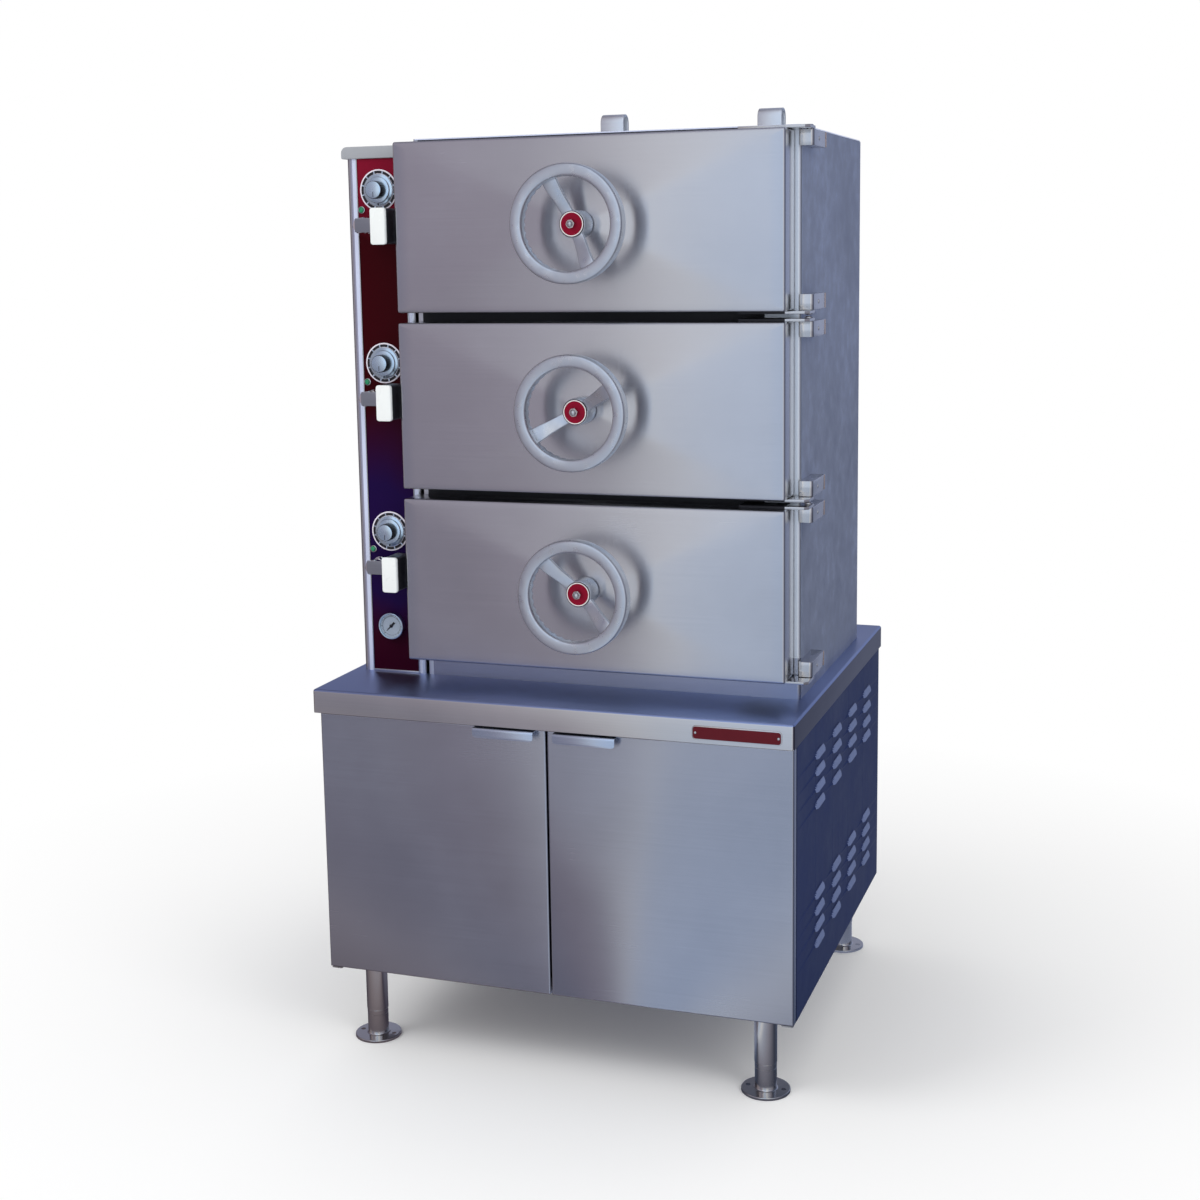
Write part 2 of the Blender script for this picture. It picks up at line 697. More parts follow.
def painted(name, base, roughness=0.35, cloud=0.10, peel=420.0, coat=0.0, relief=0.00006, gloss=0.5):
    """Paint or moulded plastic: a fine orange-peel relief, and slow changes of tone and gloss."""
    nodes = Nodes(name)
    slow = nodes.noise(7.0, 4.0, 0.6)
    fine = nodes.noise(peel, 2.0)
    stops = [(0.3, shade(base, 1 - cloud)), (0.7, shade(base, 1 + cloud))]
    nodes.colour(slow, stops)
    nodes.roughness(slow, roughness * 0.85, roughness * 1.2)
    nodes.bump(fine, relief, 0.3)
    return nodes.set(Coat_Weight=coat, Coat_Roughness=0.08, Specular_IOR_Level=gloss).material


def control_red(name, colours):
    """Printed panel: its red deepens down the column, in colours placed by height."""
    nodes = Nodes(name)
    low, high = box_of("control_panel")
    height = nodes.between(nodes.axis("Z"), 0.0, 1.0, float(low[2]), float(high[2]))
    wander = nodes.noise(1.0, 2.0, stretch=(9, 9, 3))
    place = nodes.sum(height, nodes.between(wander, -0.03, 0.03))
    top, middle, low_tone, foot = colours
    stops = [(0.0, foot), (0.07, foot), (0.15, low_tone), (0.36, low_tone)]
    stops += [(0.52, middle), (0.84, middle), (0.93, top), (1.0, shade(top, 1.1))]
    nodes.colour(place, stops)
    fine = nodes.noise(300.0, 2.0)
    nodes.roughness(fine, 0.34, 0.42)
    nodes.bump(fine, 0.00003, 0.2)
    return nodes.set(Specular_IOR_Level=0.04).material


def rolled(name, base, roughness=0.42):
    """Rolled sheet with a mottled skin: two sizes of patchy noise vary its tone and gloss."""
    nodes = Nodes(name)
    patches = nodes.noise(26.0, 6.0, 0.68)
    slow = nodes.noise(4.0, 3.0)
    mixed = nodes.sum(nodes.sum(patches, 0.6, "MULTIPLY"), nodes.sum(slow, 0.4, "MULTIPLY"))
    stops = [(0.32, shade(base, 0.80)), (0.5, base), (0.68, shade(base, 1.28, (0.98, 1.0, 1.04)))]
    nodes.colour(mixed, stops)
    nodes.roughness(patches, roughness * 0.8, roughness * 1.25)
    nodes.bump(patches, 0.0002, 0.12)
    return nodes.set(Metallic=0.85, Specular_Tint=(0.45, 0.47, 0.55, 1.0)).material


def lens_green(name, base):
    """Moulded lens with a faint glow of its own colour."""
    nodes = Nodes(name)
    fine = nodes.noise(240.0, 2.0)
    nodes.colour(fine, [(0.3, shade(base, 0.75)), (0.7, shade(base, 1.3))])
    nodes.roughness(fine, 0.08, 0.16)
    return nodes.set(Coat_Weight=0.6, Subsurface_Weight=0.1).material


def clear_glass(name):
    """Thin clear glass with faint dust that dulls it."""
    nodes = Nodes(name)
    dust = nodes.noise(180.0, 3.0)
    nodes.roughness(dust, 0.01, 0.05)
    return nodes.set(Transmission_Weight=1.0, IOR=1.2, Base_Color=(0.97, 0.99, 1.0, 1.0)).material


def fibrous(name, base):
    """Mineral wool: tangled fine noise for its tone and relief."""
    nodes = Nodes(name)
    fibres = nodes.noise(60.0, 6.0, 0.7, (1, 6, 6))
    stops = [(0.3, shade(base, 0.6)), (0.7, shade(base, 1.25))]
    nodes.colour(fibres, stops)
    nodes.bump(fibres, 0.002, 0.8)
    return nodes.set(Roughness=0.95, Sheen_Weight=0.3).material


def make_finishes(c):
    """Makes every finish from the colours."""
    brushed("door_steel", c.door, 0.24, 0.88, relief=0.00002)
    brushed("base_steel", c.base, 0.24, 0.80)
    brushed("pull_steel", shade(c.bright, 1.0, (0.92, 1.05, 1.25)), 0.25, 0.3)
    brushed("deck_steel", c.deck, 0.36, 0.60, relief=0.00002)
    brushed("apron_steel", c.apron, 0.30, 0.70)
    brushed("side_steel", shade(c.apron, 0.22, (0.95, 0.9, 1.15)), 0.40, 0.60)
    brushed("column_steel", c.door, 0.22, 0.60)
    brushed("face_steel", shade(c.bright, 1.35, (0.95, 1.0, 1.04)), 0.40, 0.3)
    painted("shadow_steel", shade(c.black, 1.5), 0.6)
    rolled("housing_steel", c.housing)
    rolled("cast_steel", shade(c.bright, 0.9), 0.26)
    brushed("inner_steel", shade(c.bright, 0.72), 0.38, 0.5)
    brushed("vessel_steel", shade(c.bright, 0.85), 0.30, 0.4, grain=(300, 4, 4))
    brushed("lever_steel", shade(c.bright, 0.80, (0.94, 1.0, 1.06)), 0.34, 0.5, grain=(4, 4, 500))
    polished("cast_aluminium", c.wheel, 0.32, 0.06, 60.0)
    polished("bright_steel", c.bright, 0.14)
    polished("chrome", shade(c.bright, 1.2), 0.07)
    polished("warm_steel", shade(c.bright, 1.1, (1.15, 0.85, 0.62)), 0.25)
    polished("dial_silver", shade(c.bright, 1.3, (0.80, 1.0, 1.15)), 0.26, 0.03, 30.0)
    painted("side_paint", c.side, 0.50, 0.12, 300.0, gloss=0.3)
    painted("louvre_paint", c.louvre, 0.40, 0.10, 300.0)
    painted("cap_paint", c.cap, 0.34, 0.05)
    painted("badge_red", c.badge, 0.25, 0.06, 500.0, gloss=0.1)
    painted("plate_red", c.plate, 0.30, 0.10, 500.0, gloss=0.1)
    painted("trim_satin", c.trim, 0.35, 0.06, 200.0)
    painted("trim_dull", shade(c.trim, 0.45, (1.0, 0.9, 1.0)), 0.40, 0.06, 200.0)
    painted("badge_ring", shade(c.grip, 0.98, (1.0, 0.90, 0.92)), 0.3, 0.03)
    painted("badge_rim", c.black, 0.3)
    painted("dial_white", shade(c.grip, 1.0, (1.0, 0.92, 1.04)), 0.3, 0.03)
    painted("gauge_white", c.dial, 0.35, 0.05)
    painted("grip_white", c.grip, 0.28, 0.04, 260.0, 0.2)
    painted("black_plastic", c.black, 0.32, 0.15, 260.0)
    painted("boiler_paint", c.boiler, 0.45, 0.12, 160.0)
    painted("gasket_rubber", c.rubber, 0.7, 0.15, 200.0, relief=0.0001)
    polished("brass", c.brass, 0.28, 0.12, 40.0)
    lens_green("lamp_green", c.lamp)
    clear_glass("clear_glass")
    fibrous("mineral_wool", c.wool)
    control_red("control_red", (c.panel_top, c.panel_middle, c.panel_low, c.panel_foot))


def give_finish(node, finish):
    """Puts a finish in a CAD object's material slots."""
    material = bpy.data.materials[PREFIX + finish]
    if not node.material_slots:
        node.data.materials.append(material)
    for slot in node.material_slots:
        slot.material = material


# Stage


# Studio round the object as metal sees it: degrees to the right of straight ahead of the doors, and colour
STUDIO = (
    (-180, (0.30, 0.33, 0.45)),
    (-140, (0.22, 0.22, 0.30)),
    (-105, (0.07, 0.06, 0.09)),
    (-80, (0.30, 0.26, 0.29)),
    (-60, (0.42, 0.39, 0.44)),
    (-42, (0.26, 0.27, 0.36)),
    (-27, (0.38, 0.34, 0.41)),
    (-21, (0.46, 0.45, 0.52)),
    (-18.9, (0.58, 0.58, 0.64)),
    (-17.6, (1.0, 1.0, 1.0)),
    (-15.6, (1.0, 1.0, 1.0)),
    (-14.2, (0.70, 0.80, 0.98)),
    (8, (0.60, 0.72, 0.94)),
    (28, (0.95, 0.97, 1.0)),
    (45, (0.50, 0.55, 0.68)),
    (72, (0.34, 0.34, 0.42)),
    (104, (0.06, 0.07, 0.11)),
    (135, (0.12, 0.15, 0.24)),
    (165, (0.34, 0.39, 0.56)),
    (180, (0.30, 0.33, 0.45)),
)
# X and Y on the floor from which the studio's colours fan out
FAN_CENTRE = (0.14, -0.42)


def math_node(tree, operation, *values):
    """Sum, product or other operation on sockets and plain numbers."""
    node = tree.nodes.new("ShaderNodeMath")
    node.operation = operation
    for value, target in zip(values, node.inputs):
        if isinstance(value, (int, float)):
            target.default_value = value
        else:
            tree.links.new(value, target)
    return node.outputs["Value"]


def ramp_node(tree, value, stops):
    """Colour for a value: stops are places and colours."""
    node = tree.nodes.new("ShaderNodeValToRGB")
    elements = node.color_ramp.elements
    while len(elements) < len(stops):
        elements.new(0.5)
    for element, (place, tone) in zip(elements, stops):
        element.position = place
        element.color = (*tone, 1.0)
    tree.links.new(value, node.inputs["Fac"])
    return node.outputs["Color"]


def mix_node(tree, factor, first, second):
    """Mix of two colours, each a socket or a plain colour."""
    node = tree.nodes.new("ShaderNodeMix")
    node.data_type = "RGBA"
    tree.links.new(factor, node.inputs["Factor"])
    colours = [socket for socket in node.inputs if socket.type == "RGBA"]
    for source, target in zip((first, second), colours):
        if isinstance(source, tuple):
            target.default_value = source
        else:
            tree.links.new(source, target)
    return next(socket for socket in node.outputs if socket.type == "RGBA")


def studio_colour(tree, x, y):
    """The studio's colour towards X and Y, by the turn from straight ahead of the doors."""
    turn = math_node(tree, "ARCTAN2", x, math_node(tree, "MULTIPLY", y, -1.0))
    place = math_node(tree, "MULTIPLY_ADD", turn, 1 / FULL_TURN, 0.5)
    return ramp_node(tree, place, [(0.5 + degrees / 360, tone) for degrees, tone in STUDIO])


def camera_axes(settings):
    """Right, up and forward of the camera: yaw turns about Z, pitch lifts, and roll turns about forward."""
    yaw, pitch, roll = settings.yaw, settings.pitch, settings.roll
    forward = np.array([-math.sin(yaw) * math.cos(pitch), math.cos(yaw) * math.cos(pitch), math.sin(pitch)])
    right = np.cross(forward, (0, 0, 1))
    right /= np.linalg.norm(right)
    up = np.cross(right, forward)
    return right * math.cos(roll) + up * math.sin(roll), up * math.cos(roll) - right * math.sin(roll), forward


def build_camera(scene, settings):
    """Camera at the place and turn from which the real object is seen."""
    data = bpy.data.cameras.new("camera")
    data.sensor_width = 36.0
    data.lens = settings.lens
    data.shift_x = settings.shift_x
    data.shift_y = settings.shift_y
    right, up, forward = camera_axes(settings)
    turn = Matrix([right, up, -forward]).transposed().to_4x4()
    camera = bpy.data.objects.new("camera", data)
    camera.matrix_world = Matrix.Translation(settings.camera_place) @ turn
    scene.collection.objects.link(camera)
    scene.camera = camera


def build_world(scene, settings):
    """White for the camera, the studio's colours by compass direction for gloss, and an even tone for the
    rest."""
    world = bpy.data.worlds.new("studio")
    scene.world = world
    world.use_nodes = True
    tree = world.node_tree
    tree.nodes.clear()
    split = tree.nodes.new("ShaderNodeSeparateXYZ")
    tree.links.new(tree.nodes.new("ShaderNodeTexCoord").outputs["Generated"], split.inputs[0])
    path = tree.nodes.new("ShaderNodeLightPath")
    gloss = math_node(tree, "MAXIMUM", path.outputs["Is Glossy Ray"], path.outputs["Is Transmission Ray"])
    even = (settings.sky_level,) * 3 + (1.0,)
    seen = mix_node(tree, gloss, even, studio_colour(tree, split.outputs["X"], split.outputs["Y"]))
    seen = mix_node(tree, path.outputs["Is Camera Ray"], seen, (1.0, 1.0, 1.0, 1.0))
    background = tree.nodes.new("ShaderNodeBackground")
    tree.links.new(seen, background.inputs["Color"])
    tree.links.new(background.outputs[0], tree.nodes.new("ShaderNodeOutputWorld").inputs["Surface"])


def build_floor(settings):
    """Round floor. Its pale finish keeps the shadow near the object and fades to white further out."""
    form = Form()
    turned(form, "z", (0, 0), [(settings.floor_radius, -0.0006), (settings.floor_radius, -0.02)], 128)
    floor_finish(settings)
    floor = plain_object("floor", form, ["floor"])


def floor_finish(settings):
    """Matt floor that fades to white for the camera with distance. Gloss sees the studio's colours on it
    instead, in a fan round a point before the doors."""
    nodes = Nodes("floor")
    tree = nodes.tree
    tone = nodes.noise(0.7, 2.0)
    near = tuple(settings.floor_colour)
    nodes.colour(tone, [(0.3, shade(near, 0.99)), (0.7, near)])
    nodes.set(Roughness=0.9, Specular_IOR_Level=0.1)
    path = tree.nodes.new("ShaderNodeLightPath")
    distance = tree.nodes.new("ShaderNodeVectorMath")
    distance.operation = "LENGTH"
    nodes.link(nodes.coordinates, distance.inputs[0])
    far = nodes.between(distance.outputs["Value"], 0.0, 1.0, 0.7, 2.0)
    x = nodes.sum(nodes.axis("X"), -FAN_CENTRE[0])
    y = nodes.sum(nodes.axis("Y"), -FAN_CENTRE[1])
    white, fan = tree.nodes.new("ShaderNodeEmission"), tree.nodes.new("ShaderNodeEmission")
    nodes.link(studio_colour(tree, x, y), fan.inputs["Color"])
    fan.inputs["Strength"].default_value = settings.floor_gloss
    seen = nodes.shader.outputs[0]
    fading = nodes.sum(far, path.outputs["Is Camera Ray"], "MULTIPLY")
    for factor, light in ((fading, white), (path.outputs["Is Glossy Ray"], fan)):
        mixer = tree.nodes.new("ShaderNodeMixShader")
        nodes.link(factor, mixer.inputs[0])
        nodes.link(seen, mixer.inputs[1])
        nodes.link(light.outputs[0], mixer.inputs[2])
        seen = mixer.outputs[0]
    output = next(node for node in tree.nodes if node.type == "OUTPUT_MATERIAL")
    nodes.link(seen, output.inputs["Surface"])


def build_lamp(scene, name, place, target, size, power):
    """Square soft lamp that faces a point."""
    data = bpy.data.lights.new(name, "AREA")
    data.size = size
    data.energy = power
    lamp = bpy.data.objects.new(name, data)
    aim = (Vector(target) - Vector(place)).to_track_quat("-Z", "Y")
    lamp.matrix_world = Matrix.Translation(place) @ aim.to_matrix().to_4x4()
    lamp.visible_glossy = False
    scene.collection.objects.link(lamp)


# Compartment doors


def crown_rings(edge, hole, half, crown, crease, base, rows):
    """Rings on rays from the centre to the face's edge. The height falls with the sum of the two coordinates'
    shares of the half width and height, each to the power crease, and of that sum the same root. A large
    power makes four flat facets that meet on the diagonals, and a smaller one softens the creases between
    them."""
    first = hole / np.linalg.norm(edge, axis=1, keepdims=True)
    part = (np.arange(rows) / rows)[:, None, None]
    points = edge * (first + (1 - first) * part)
    reach = np.sum(np.abs(points / half) ** crease, axis=-1, keepdims=True) ** (1 / crease)
    return np.concatenate([points, base - crown * np.clip(1 - reach, 0, 1)], -1)


def build_door_skin(row, s):
    """Folded pan whose face rises to the crown, with a round hole for the boss."""
    node = f"door_skin_{row}"
    centre, half = front_view(node)
    face = FACE - s.door_proud
    profile = folded(box_of(node)[1][1] - face, s.door_bend, s.wall, s.door_return)
    corners, sides, rows = 6, 26, 14
    pan = pan_rings(half, s.door_corner, profile, sides, corners)
    edge = resample(rectangle(*half, s.door_corner, s.door_bend, corners), corners, sides)
    flat = half - s.door_bend
    outer = crown_rings(edge, s.boss_hole, flat, s.crown, s.crease, 0.0, rows)
    inner = crown_rings(edge, s.boss_hole, flat, s.crown, s.crease, s.wall, rows)
    rings = facing_front(np.concatenate([outer, pan, inner[::-1]]), centre, face)
    form = Form().loft(rings, wrap=True)
    make_piece(f"skin_{row}", form, "door_steel", f"door_{row}", "door_steel", [node], smooth=20.0)


def hinge_plate_outline(start, front, high, axis, ear, chamfer):
    """Outer part of a hinge plate from X start: a chamfered nose and an eye round the pin."""
    turn = np.radians(np.linspace(0, 180, 13))
    eye = np.stack([axis[0] + ear * np.cos(turn), axis[1] + ear * np.sin(turn)], -1)
    nose = [(start, front), (high[0] - chamfer, front), (high[0], front + chamfer)]
    back = [(axis[0] - ear, axis[1] - 0.001), (start, axis[1] - 0.001)]
    return np.concatenate([nose, eye, back])


def build_strongback(row, s):
    """Beam behind the skin with the spindle's boss and the tongue, and a hinge plate at each edge of the
    door."""
    node = f"door_strongback_{row}"
    skin_low, skin_high = box_of(f"door_skin_{row}")
    low, high = box_of(node)
    middle = (skin_low[2] + skin_high[2]) / 2
    front = FACE - s.door_proud + s.beam_gap
    rear = front + s.beam_depth
    wall = s.wall
    form = Form()
    left, right = skin_low[0] + wall, skin_high[0] - wall
    reach = s.beam_height / 2
    block(form, (left, front, middle - reach), (right, rear, middle + reach), 0.003, 0.0015)
    stile = s.beam_depth
    reach = (skin_high[2] - skin_low[2]) / 2 - wall
    block(form, (right - stile, front, middle - reach), (right, rear, middle + reach), 0.002, 0.001)
    tongue, reach = skin_low[0] + TONGUE_FROM_EDGE, TONGUE_HALF_HEIGHT
    ends = (tongue, rear - 0.001, middle - reach), (tongue + TONGUE_WIDTH, skin_high[1], middle + reach)
    block(form, *ends, 0.003, 0.0015)
    centre = ((skin_low[0] + skin_high[0]) / 2, middle)
    rod(form, "y", centre, s.boss_hole - 0.0005, low[1], front + 0.001, 0.0015, 56)
    edge, nose = skin_high[0] - 0.006, HINGE[1] - 0.047
    for level in ((low[2], skin_low[2]), (skin_high[2], high[2])):
        outline = hinge_plate_outline(edge, nose, high, HINGE, 0.0105, 0.0075)
        plate(form, "z", outline, level, 0.0008, 1)
        finish = 0 if row == "top" and level[0] == skin_high[2] else 2
        ends = (HINGE[0] - 0.113, nose, level[0]), (edge, HINGE[1] - 0.001, level[1])
        block(form, *ends, 0.001, 0.0008, "z", finish)
    finishes = ["cast_steel", "bright_steel", "shadow_steel"]
    make_piece(f"strongback_{row}", form, finishes, f"door_{row}", "hinge_steel", [node])


def build_pressure_plate(row):
    """Floating plate with a pressed border, two guide rods and the capped nut."""
    node = f"pressure_plate_{row}"
    low, high = box_of(node)
    centre, half = front_view(node)
    thickness, corner, edge = 0.010, 0.012, 0.003
    rod_radius, rod_from_centre, nut_radius = 0.005, 0.2, 0.025
    rear = box_of(f"door_gasket_{row}")[0][1]
    front = rear - thickness
    turn = np.linspace(0, math.pi / 2, 5)
    profile = [(0.060, front + 0.003), (0.045, front)]
    profile += [(edge * (1 - math.sin(t)), front + edge * (1 - math.cos(t))) for t in turn]
    profile += [(edge * (1 - math.cos(t)), rear - edge * (1 - math.sin(t))) for t in turn]
    form = Form().loft([lift("y", rectangle(*half, corner, inset, 6) + centre, y) for inset, y in profile])
    for side in (-1, 1):
        place = (centre[0] + side * rod_from_centre, centre[1])
        rod(form, "y", place, rod_radius, low[1], front + 0.001, 0.0008, 24)
    rod(form, "y", centre, nut_radius, front + 0.002, high[1], 0.002, 48)
    make_piece(f"pressure_plate_{row}_cast", form, "inner_steel", f"plate_{row}", "plate_steel", [node])


def build_gasket(row):
    """Moulded ring: a flat back, and a face with two soft ribs. Insets run across the ring, and the ribs
    follow a raised cosine."""
    node = f"door_gasket_{row}"
    low, high = box_of(node)
    centre, half = front_view(node)
    width, thickness, corner = 0.018, high[1] - low[1], 0.022
    across = np.linspace(0, 1, 17)
    ribs = 0.78 + 0.22 * np.cos(across * FULL_TURN * 2 + math.pi)
    rounding = np.sqrt(np.clip(1 - np.abs(2 * across - 1) ** 6, 0, 1))
    profile = [(a * width, low[1] + thickness * max(0.12, h * r)) for a, h, r in zip(across, ribs, rounding)]
    profile += [(width, low[1]), (0.0, low[1])]
    rings = [lift("y", rectangle(*half, corner, inset, 8) + centre, y) for inset, y in profile]
    form = Form().loft(rings, wrap=True)
    make_piece(f"gasket_{row}", form, "gasket_rubber", f"plate_{row}", "gasket_rubber", [node], smooth=60.0)


# Handwheels and spindles


def spun(points, degrees, centre):
    """Points round the origin turned about +Y, then moved to a centre given by X and Z."""
    turn = math.radians(degrees)
    x = points[..., 0] * math.cos(turn) + points[..., 2] * math.sin(turn)
    z = points[..., 2] * math.cos(turn) - points[..., 0] * math.sin(turn)
    return np.stack([x + centre[0], points[..., 1], z + centre[1]], -1)


def rim_rings(radius, front, s):
    """Superellipse section carried round the wheel. The inner rear part of the section shrinks towards its
    centre by a raised cosine of the turn, which makes the finger scallops."""
    turn = (np.arange(s.scallops * 8) * FULL_TURN / (s.scallops * 8))[:, None]
    around = (np.arange(28) * FULL_TURN / 28)[None]
    power = 2 / s.squareness
    out = np.sign(np.cos(around)) * np.abs(np.cos(around)) ** power
    back = np.sign(np.sin(around)) * np.abs(np.sin(around)) ** power
    where = np.clip(-np.cos(around), 0, 1) * np.clip(np.sin(around), 0, 1) * 2
    shrink = 1 - 2 * s.scallop_depth / s.rim_width * where * (0.5 - 0.5 * np.cos(s.scallops * turn))
    r = radius - s.rim_width / 2 + s.rim_width / 2 * out * shrink
    y = front + s.rim_depth / 2 + s.rim_depth / 2 * back * shrink
    return np.stack([r * np.cos(turn), y, r * np.sin(turn)], -1)


def spoke_rings(inner, hub_front, rim_rear, s):
    """Rounded bar across the wheel. Its middle line falls from the hub to the rim on a smooth step, and it
    widens with the square of that step."""
    places = np.linspace(-1, 1, 41) * (inner + 0.004)
    start = s.hub_radius * 0.8
    fall = smooth_step((np.abs(places) - start) / (inner - start))
    near, far = hub_front + s.spoke_thickness / 2, rim_rear - s.spoke_thickness / 2
    middle = near + (far - near) * fall
    width = s.spoke_width * (0.86 + 0.24 * fall**2) / 2
    rings = []
    for x, y, half in zip(places, middle, width):
        ring = rectangle(half, s.spoke_thickness / 2, 0.0018, 0.0, 4)
        rings.append(np.stack([np.full(len(ring), x), y + ring[:, 1], ring[:, 0]], -1))
    return np.array(rings)


def build_wheel(row, s):
    """Cast handwheel: rim, dished bar and hub."""
    node = f"handwheel_{row}"
    low, high = box_of(node)
    centre, (radius, _) = front_view(node)
    hub_front = low[1] + s.dish
    form = Form()
    form.loft(spun(rim_rings(radius, low[1], s), 0, centre), wrap=True)
    inner = radius - s.rim_width
    form.loft(spun(spoke_rings(inner, hub_front, low[1] + s.rim_depth, s), SPOKE_TURN[row], centre))
    rod(form, "y", centre, s.hub_radius, hub_front, high[1], 0.0016, 64)
    rider = f"wheel_{row}"
    make_piece(f"{rider}_cast", form, "cast_aluminium", rider, "wheel_aluminium", [node], smooth=50.0)
    badge = Form()
    front = hub_front - s.badge_depth
    seat, hole = front + 0.0008, 0.0045
    ring_edge, disc_edge = s.badge_radius * 0.94, s.badge_radius * 0.86
    rod(badge, "y", centre, s.badge_radius, front + 0.0006, hub_front, 0.0004, 64, 0)
    turned(badge, "y", centre, band(disc_edge, ring_edge, seat, front + 0.0002), 64, 1, wrap=True)
    disc = [(disc_edge, seat), (disc_edge - 0.0002, front + 0.0001), (0.0120, front)]
    disc += [(hole, front), (hole, seat)]
    turned(badge, "y", centre, disc, 64, 2, wrap=True)
    make_piece(f"badge_{row}", badge, ["badge_rim", "badge_ring", "badge_red"], rider, "wheel_aluminium")


def thread_rings(start, end, s, steps=24, per_turn=8):
    """Screw surface: the radius follows a raised cosine of the place along the thread less the turn round
    it."""
    rows = int((end - start) / s.thread_pitch * per_turn)
    y = np.linspace(start, end, rows)[:, None]
    turn = (np.arange(steps) * FULL_TURN / steps)[None]
    wave = 0.5 - 0.5 * np.cos(FULL_TURN * (y - start) / s.thread_pitch - turn)
    ends = smooth_step((end - y) / 0.004)
    radius = s.spindle_radius - s.thread_depth * np.maximum(wave, 1 - ends)
    return np.stack([radius * np.cos(turn), y + 0 * turn, radius * np.sin(turn)], -1)


def hexagon(across, turn):
    """Distance from the centre to a hexagon's side in the direction of turn."""
    return across / 2 / np.cos((turn + math.pi / 6) % (math.pi / 3) - math.pi / 6)


def nut_rings(across, rear, front, dome, steps=48):
    """Hexagon chamfered at both ends, closed in front by a dome of that radius."""
    turn = np.arange(steps) * FULL_TURN / steps
    sides = hexagon(across, turn)
    sign = -1 if front < rear else 1
    lip = sign * 0.0009
    chamfered = np.minimum(sides, across / 2 * 1.035)
    stack = [(chamfered, rear), (sides, rear + lip), (sides, front - lip), (chamfered, front)]
    if dome:
        rise = np.linspace(0, math.pi / 2 * 0.995, 9)
        stack += [(np.full(steps, dome * math.cos(t)), front + sign * dome * math.sin(t)) for t in rise]
    return np.array([np.stack([r * np.cos(turn), np.full(steps, y), r * np.sin(turn)], -1) for r, y in stack])


def build_spindle(row, s):
    """Threaded spindle and the acorn nut in front of the badge."""
    node = f"spindle_{row}"
    centre, _ = front_view(node)
    hub_front = box_of(f"handwheel_{row}")[0][1] + s.dish
    form = Form().loft(spun(thread_rings(hub_front, box_of(node)[1][1], s), 0, centre))
    rear, dome = hub_front - s.badge_depth, s.nut_width / 2 - 0.001
    form.loft(spun(nut_rings(s.nut_width, rear, rear - s.nut_height, dome), 20, centre))
    rider = f"wheel_{row}"
    make_piece(f"spindle_{row}_turned", form, "bright_steel", rider, "bright_steel", [node], smooth=30.0)


# Housing and hinge blocks


def rounded_path(points, radius, steps=6, closed=False):
    """Straight runs between corner points, with an arc of that radius in each corner. A radius may be given
    for every point."""
    points = np.asarray(points, float)
    radii = np.broadcast_to(np.asarray(radius, float), len(points))
    parts = []
    for i, point in enumerate(points):
        if radii[i] <= 0 or (not closed and i in (0, len(points) - 1)):
            parts.append(point[None])
            continue
        before = points[i - 1] - point
        after = points[(i + 1) % len(points)] - point
        before, after = before / np.linalg.norm(before), after / np.linalg.norm(after)
        half = math.acos(float(np.clip(before @ after, -1, 1))) / 2
        middle = before + after
        centre = point + middle / np.linalg.norm(middle) * radii[i] / math.sin(half)
        reach = radii[i] / math.tan(half)
        start, end = point + before * reach - centre, point + after * reach - centre
        spread = math.pi - 2 * half
        part = np.linspace(0, 1, steps)[:, None]
        arc = np.sin((1 - part) * spread) * start + np.sin(part * spread) * end
        parts.append(centre + arc / math.sin(spread))
    return np.concatenate(parts)


def upright(path, levels):
    """Grid of a vertical sheet: a path in X and Y repeated at every level."""
    path, levels = np.asarray(path, float), np.asarray(levels, float)
    grid = np.zeros((len(levels), len(path), 3))
    grid[..., :2] = path[None]
    grid[..., 2] = levels[:, None]
    return grid


